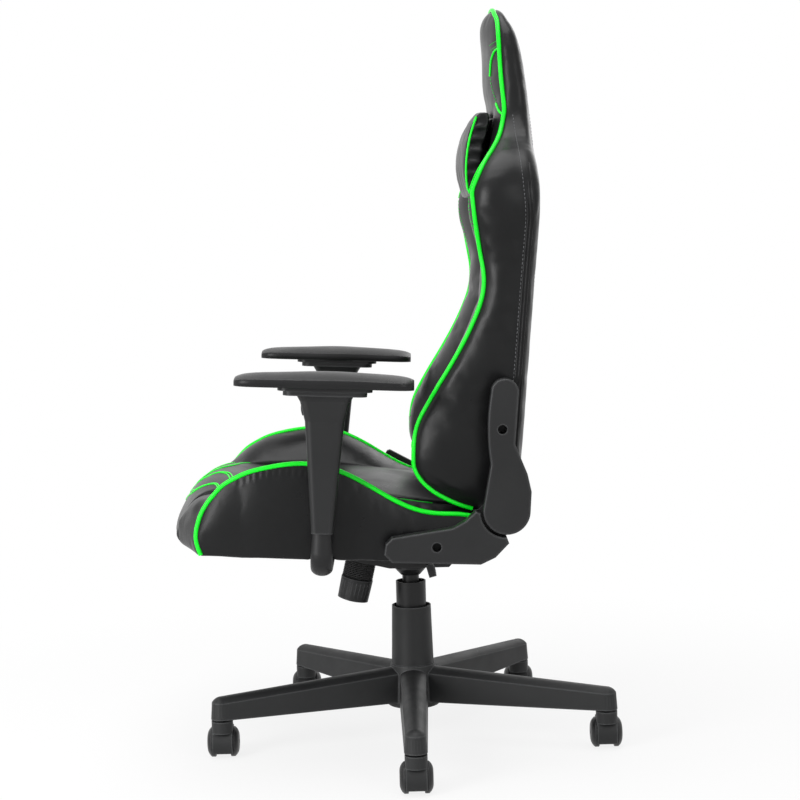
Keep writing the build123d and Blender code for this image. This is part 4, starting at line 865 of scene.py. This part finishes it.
def upholster_back():
    cover = back_skin()
    press_folds(cover, back_folds(1) + back_folds(-1))
    back_welt(cover)
    near = {node: SEAM_REACH for node in BACK_SOLIDS}
    near["head_pillow"] = PILLOW_ROOM
    cushion("back_cushion", "back_centre", "back", BACK_GRAIN, near, swell=0.008)
    for side, sign in SIDES:
        front_lines(cover, side, sign)
        rear_lines(cover, side, sign)


# The seat

SEAT_WELT_SPACING = 0.012

# Double lines across the front of the seat, left half: (x, y), drawn level
CHEVRONS = (((0, -378), (40, -371), (70, -364), (92, -356), (104, -346), (114, -334), (122, -322),
             (134, -315), (150, -311), (164, -309)),
            ((0, -360), (14, -354), (24, -347), (25, -338), (27, -329), (34, -319), (46, -309), (64, -302),
             (100, -295), (140, -288), (164, -283)))
CHEVRON_STEP = 8
CHEVRON_CLOSES = 240
SEAT_ABOVE = 450

# The seams beside the seat centre, from the front to the rear
SEAT_SEAM_X = 164
SEAT_SEAM_RUN = range(-250, 41, 14)

# The piping down the front of the seat, seen from the side: (y, z), drawn level
SEAT_PIPING_FRONT = ((-325, 348), (-330, 358), (-332.5, 372), (-332, 386), (-327.5, 404), (-320, 422),
                     (-302, 446), (-288, 459))

# The crest of a seat wing, where its piping runs on to the rear
CREST_OUT = 228
CREST_FRONT = -276
CREST_REAR = 100
CREST_LOW = 400

# The dish in the seat: its depth, the share of it that only the middle has, the share that reaches
# the edges too, and where it begins and ends
SEAT_DISH = 12
DISH_MIDDLE_SHARE = 0.65
DISH_EDGE_SHARE = 0.35
SEAT_HALF = 165
DISH_FRONT = (-296, -256)
DISH_REAR = (-200, -100)
SEAT_TOP = (395, 425)

# The brow over the nose
SEAT_BROW = 5
BROW_RISE = 0.6
BROW_Z = 424
BROW_DEEP = 26
BROW_Y = (-300, -335)
BROW_OUT = (205, 234)

# The low front of a seat wing, and the low part of its crest
WING_SINK = 8
WING_SINK_X = 200
WING_SINK_WIDE = 28
WING_SINK_Y = -312
WING_SINK_LONG = 22
CREST_SINK = 3.5
CREST_SINK_Y = -235
CREST_SINK_LONG = 50
CREST_TOP = (420, 470)

# The gathers under the piping, along y, and the height of the bowed line that they hang from
GATHERS = range(-266, -150, 10)
GATHER_TOP = 490
GATHER_BOW = 0.0034
GATHER_MIDDLE = -192


def mould_brow(drawn):
    """The brow over the nose stands a little further out."""
    out, y, z = np.abs(drawn[:, 0]), drawn[:, 1], drawn[:, 2]
    lift = SEAT_BROW * np.exp(-((z - BROW_Z) / BROW_DEEP) ** 2) * smooth_step(*BROW_Y, y)
    lift *= 1 - smooth_step(*BROW_OUT, out)
    drawn[:, 1] -= lift
    drawn[:, 2] += BROW_RISE * lift


def mould_wing(drawn):
    """The wing sinks towards the front of the seat, and its crest lies a little lower there."""
    out, y, z = np.abs(drawn[:, 0]), drawn[:, 1].copy(), drawn[:, 2].copy()
    mould_brow(drawn)
    across = (out - WING_SINK_X) / WING_SINK_WIDE
    along = (y - WING_SINK_Y) / WING_SINK_LONG
    front = np.exp(-across ** 2 - along ** 2) * smooth_step(*SEAT_TOP, z)
    crest = np.exp(-((y - CREST_SINK_Y) / CREST_SINK_LONG) ** 2) * smooth_step(*CREST_TOP, z)
    drawn[:, 2] -= WING_SINK * front + CREST_SINK * crest


def mould_seat(drawn):
    """The middle of the seat lies lower than its edges."""
    out, y, z = np.abs(drawn[:, 0]), drawn[:, 1], drawn[:, 2]
    across = DISH_EDGE_SHARE + DISH_MIDDLE_SHARE * (1 - np.clip(out / SEAT_HALF, 0, 1) ** 2)
    along = smooth_step(*DISH_FRONT, y) * (1 - smooth_step(*DISH_REAR, y))
    drawn[:, 2] -= SEAT_DISH * across * along * smooth_step(*SEAT_TOP, z)
    mould_brow(drawn)


def seat_folds(sign):
    """Gathers under the piping, and slack over the nose."""
    folds = []
    for y in GATHERS:
        top = GATHER_TOP - GATHER_BOW * (y - GATHER_MIDDLE) ** 2
        folds.append(((sign * 252, y, top - 3), (sign * 257, y - 4, top - 14), 0.5, 3))
    folds.append(((sign * 180, -360, 398), (sign * 234, -334, 412), 0.9, 7))
    return folds


def seat_crest(seams, sign):
    """The crest of a seat wing from the front to the rear, moved as its leather."""
    def on_crest(place):
        return place.x * sign > CREST_OUT and CREST_FRONT < place.y < CREST_REAR and place.z > CREST_LOW

    return moulded_run(crease_run(seams, on_crest, lambda place: place.y), mould_wing)


def seat_lines(centre):
    """The seams beside the seat centre, and the double lines across its front."""
    for side, sign in SIDES:
        seam = [(sign * SEAT_SEAM_X, y, SEAT_ABOVE) for y in SEAT_SEAM_RUN]
        run = laid_on(centre, seam, DOWN, LINE_RADIUS * SEAM_LIFT)
        on_body(tube("seat_seam_" + side, run, LINE_RADIUS), "seat", GREEN_THREAD)
    for number, chevron in enumerate(CHEVRONS):
        for pair in range(2):
            half = [(x, y + pair * CHEVRON_STEP * (1 - x / CHEVRON_CLOSES), SEAT_ABOVE) for x, y in chevron]
            run = laid_on(centre, mirrored(half[::-1], -1) + half[1:], DOWN, LINE_RADIUS * LINE_LIFT)
            welt("seat_line_%d_%d" % (number, pair), run, LINE_RADIUS, "seat")


def upholster_seat():
    around = {"seat_frame": SEAM_REACH, "seat_belts": SEAM_REACH}
    for side, sign in SIDES:
        near = dict(around, seat_cushion=SEAM_REACH)
        for node in ("seat_cover_", "recliner_lower_", "arm_bracket_"):
            near[node + side] = SEAM_REACH
        wing, seams = cushion("seat_bolster_" + side, "seat_wing_" + side, "seat", SEAT_GRAIN, near,
                              swell=0.0035, slack=0.005, mould=mould_wing)
        press_folds(wing, seat_folds(sign))
        front = laid_beside(wing, SEAT_PIPING_FRONT, sign, WELT_RADIUS * SEAT_WELT_LIFT)
        run = spaced(front + seat_crest(seams, sign), SEAT_WELT_SPACING)
        welt("seat_welt_" + side, run, WELT_RADIUS, "seat")
    near = dict(around, seat_bolster_left=SEAM_REACH, seat_bolster_right=SEAM_REACH)
    centre, _ = cushion("seat_cushion", "seat_centre", "seat", BACK_GRAIN, near,
                        swell=0.0045, mould=mould_seat)
    seat_lines(centre)


# The neck pillow and the arm pads

PILLOW_REACH = 0.008
PILLOW_WELT_SPACING = 0.010

# The lean of the pillow's top, and where it begins and ends, drawn level
PILLOW_LEAN = 7
PILLOW_LEAN_Z = (985, 1030)
PILLOW_LEAN_Y = (78, 96)
PILLOW_LEAN_OUT = (60, 110)

# The creases in the ends of the pillow: the height of each, and its rise to the rear
PILLOW_CREASES = ((1024, 4), (1008, 2), (990, 0), (972, -2), (954, -3), (938, -4))

# The sewn edge of each end panel
PILLOW_END_X = 138
PILLOW_END_Y = 84

PAD_SMOOTH = math.radians(50)


def mould_pillow(drawn):
    """The top of the pillow leans back towards the head."""
    out, y, z = np.abs(drawn[:, 0]), drawn[:, 1].copy(), drawn[:, 2]
    lean = PILLOW_LEAN * smooth_step(*PILLOW_LEAN_Z, z) * smooth_step(*PILLOW_LEAN_Y, y)
    drawn[:, 1] += lean * smooth_step(*PILLOW_LEAN_OUT, out)


def pillow_folds(sign):
    """Nearly level creases across each end panel."""
    return [((sign * 140, 69, z), (sign * 138, 99, z + rise), 2.2, 4.6) for z, rise in PILLOW_CREASES]


def pillow_end(seams, sign):
    """The sewn front edge of an end panel, from the foot to the top."""
    def on_edge(place):
        return place.x * sign > PILLOW_END_X and place.y < PILLOW_END_Y

    return crease_run(seams, on_edge, lambda place: place.z)


def upholster_pillow():
    nearest = ("back_cushion", "back_bolster_left", "back_bolster_right", "head_cushion")
    near = {node: PILLOW_REACH for node in nearest}
    pillow, seams = cushion("head_pillow", "neck_pillow", "pillow", PILLOW_GRAIN, near,
                            swell=0.004, slack=0.02, mould=mould_pillow)
    press_folds(pillow, pillow_folds(1) + pillow_folds(-1))
    for side, sign in SIDES:
        run = spaced(pillow_end(seams, sign), PILLOW_WELT_SPACING)
        welt("pillow_welt_" + side, run, THIN_WELT_RADIUS, "pillow")


def pad_skins():
    """The soft skins of the arm pads."""
    for side, _ in SIDES:
        pad = copy_of("arm_pad_" + side, "arm_rest_" + side)
        bpy.ops.object.shade_smooth_by_angle(angle=PAD_SMOOTH)
        on_body(pad, "pad_" + side, PAD_SKIN)
        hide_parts("arm_pad_" + side)


# The boot and the spring under the seat

BOOT_SMOOTH = math.radians(35)


def boot_and_spring():
    """Both stand on the housing and end in the knob, which moves with the seat as it tilts."""
    for node, name, finish, slot in (("tension_boot", "spring_boot", BOOT_RUBBER, "boot_rubber"),
                                     ("tension_spring", "boot_spring", BRIGHT_STEEL, "bright_steel")):
        piece = copy_of(node, name)
        bpy.ops.object.shade_smooth_by_angle(angle=BOOT_SMOOTH)
        piece.data.materials.append(finish)
        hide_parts(node)
        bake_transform(piece)


# Stage: floor, light and camera, in metres

FLOOR_SIZE = 40
WHITE = (1, 1, 1, 1)

# The floor is a little darker round the base: where the shade ends, and how dark it is
SHADE_INSIDE = 0.45
SHADE_OUTSIDE = 1.3
SHADE_DEPTH = 0.84

# The share of the white backdrop's light that falls on the chair
STUDIO_LIGHT = 0.3

# Lamps: name, place, width, height and power
LAMPS = (("key", (2.0, -2.0, 1.2), 0.9, 1.9, 62), ("top", (0.3, -0.2, 3.1), 2.2, 2.2, 62),
         ("fill", (2.8, 1.9, 1.6), 1.0, 1.4, 16), ("rear", (-2.4, 1.2, 1.9), 1.6, 1.6, 12))
LAMP_AIM = Vector((0, 0, 0.65))

CAMERA_SPOT = Vector((3.092, -0.012, 0.860))
CAMERA_YAW = math.radians(0.034)
CAMERA_PITCH = math.radians(5.342)
CAMERA_ROLL = math.radians(1.481)


def seen_share(tree):
    """1 for what the camera, a mirror or a clear piece sees, 0 for the light that falls on the chair."""
    path = tree.nodes.new("ShaderNodeLightPath")
    share = path.outputs["Is Camera Ray"]
    for ray in ("Is Glossy Ray", "Is Transmission Ray"):
        either = tree.nodes.new("ShaderNodeMath")
        either.operation = "MAXIMUM"
        tree.links.new(share, either.inputs[0])
        tree.links.new(path.outputs[ray], either.inputs[1])
        share = either.outputs[0]
    return share


def floor_paper():
    """White paper that keeps the shadow of the chair."""
    paper = plain_finish("floor_paper", (0.85, 0.85, 0.85), roughness=0.9, Specular_IOR_Level=0.0)
    tree = paper.node_tree
    glow = add_node(paper, "Emission", Strength=1.0)
    glow.inputs["Color"].default_value = WHITE
    place = add_node(paper, "TexCoord")
    reach = add_node(paper, "VectorMath")
    reach.operation = "LENGTH"
    link(paper, place.outputs["Object"], reach.inputs[0])
    span = add_node(paper, "MapRange")
    span.interpolation_type = "SMOOTHSTEP"
    span.inputs["From Min"].default_value = SHADE_INSIDE
    span.inputs["From Max"].default_value = SHADE_OUTSIDE
    span.inputs["To Min"].default_value = SHADE_DEPTH
    span.inputs["To Max"].default_value = 1.0
    link(paper, reach.outputs["Value"], span.inputs["Value"])
    share = add_node(paper, "Math")
    share.operation = "MULTIPLY"
    link(paper, seen_share(tree), share.inputs[0])
    link(paper, span.outputs["Result"], share.inputs[1])
    mix = add_node(paper, "MixShader")
    link(paper, share.outputs[0], mix.inputs["Fac"])
    link(paper, shader_of(paper).outputs["BSDF"], mix.inputs[1])
    link(paper, glow.outputs["Emission"], mix.inputs[2])
    link(paper, mix.outputs["Shader"], tree.nodes["Material Output"].inputs["Surface"])
    return paper


def studio_floor():
    bpy.ops.mesh.primitive_plane_add(size=FLOOR_SIZE)
    floor = bpy.context.object
    floor.name = "floor"
    floor.data.materials.append(floor_paper())


def studio_world():
    """A white backdrop that gives the chair a plain, soft light."""
    world = bpy.context.scene.world or bpy.data.worlds.new("studio")
    bpy.context.scene.world = world
    world.use_nodes = True
    sky = world.node_tree
    back = sky.nodes["Background"]
    span = sky.nodes.new("ShaderNodeMapRange")
    span.inputs["To Min"].default_value = STUDIO_LIGHT
    span.inputs["To Max"].default_value = 1.0
    sky.links.new(seen_share(sky), span.inputs["Value"])
    sky.links.new(span.outputs["Result"], back.inputs["Strength"])
    back.inputs["Color"].default_value = WHITE


def studio_lamps():
    for name, spot, width, height, power in LAMPS:
        bpy.ops.object.light_add(type="AREA", location=spot)
        lamp = bpy.context.object
        lamp.name = name + "_lamp"
        lamp.data.shape = "RECTANGLE"
        lamp.data.size = width
        lamp.data.size_y = height
        lamp.data.energy = power
        aim = LAMP_AIM - Vector(spot)
        lamp.rotation_euler = aim.to_track_quat("-Z", "Y").to_euler()


def turned(a, b, angle):
    """Two directions at a right angle, both turned in their plane, a towards b."""
    return a * math.cos(angle) + b * math.sin(angle), b * math.cos(angle) - a * math.sin(angle)


def photo_camera():
    """The camera where the photograph was taken from."""
    ahead, right, up = Vector((-1, 0, 0)), Vector((0, 1, 0)), Vector((0, 0, 1))
    ahead, right = turned(ahead, right, CAMERA_YAW)
    ahead, up = turned(ahead, up, -CAMERA_PITCH)
    right, up = turned(right, up, -CAMERA_ROLL)
    bpy.ops.object.camera_add()
    camera = bpy.context.object
    camera.matrix_world = Matrix.Translation(CAMERA_SPOT) @ Matrix((right, up, -ahead)).transposed().to_4x4()
    camera.data.sensor_width = 36
    camera.data.lens = 84.08
    bpy.context.scene.camera = camera


bpy.context.scene.view_settings.view_transform = "Standard"
paint_frame()
upholster_back()
upholster_seat()
upholster_pillow()
pad_skins()
boot_and_spring()
studio_floor()
studio_world()
studio_lamps()
photo_camera()
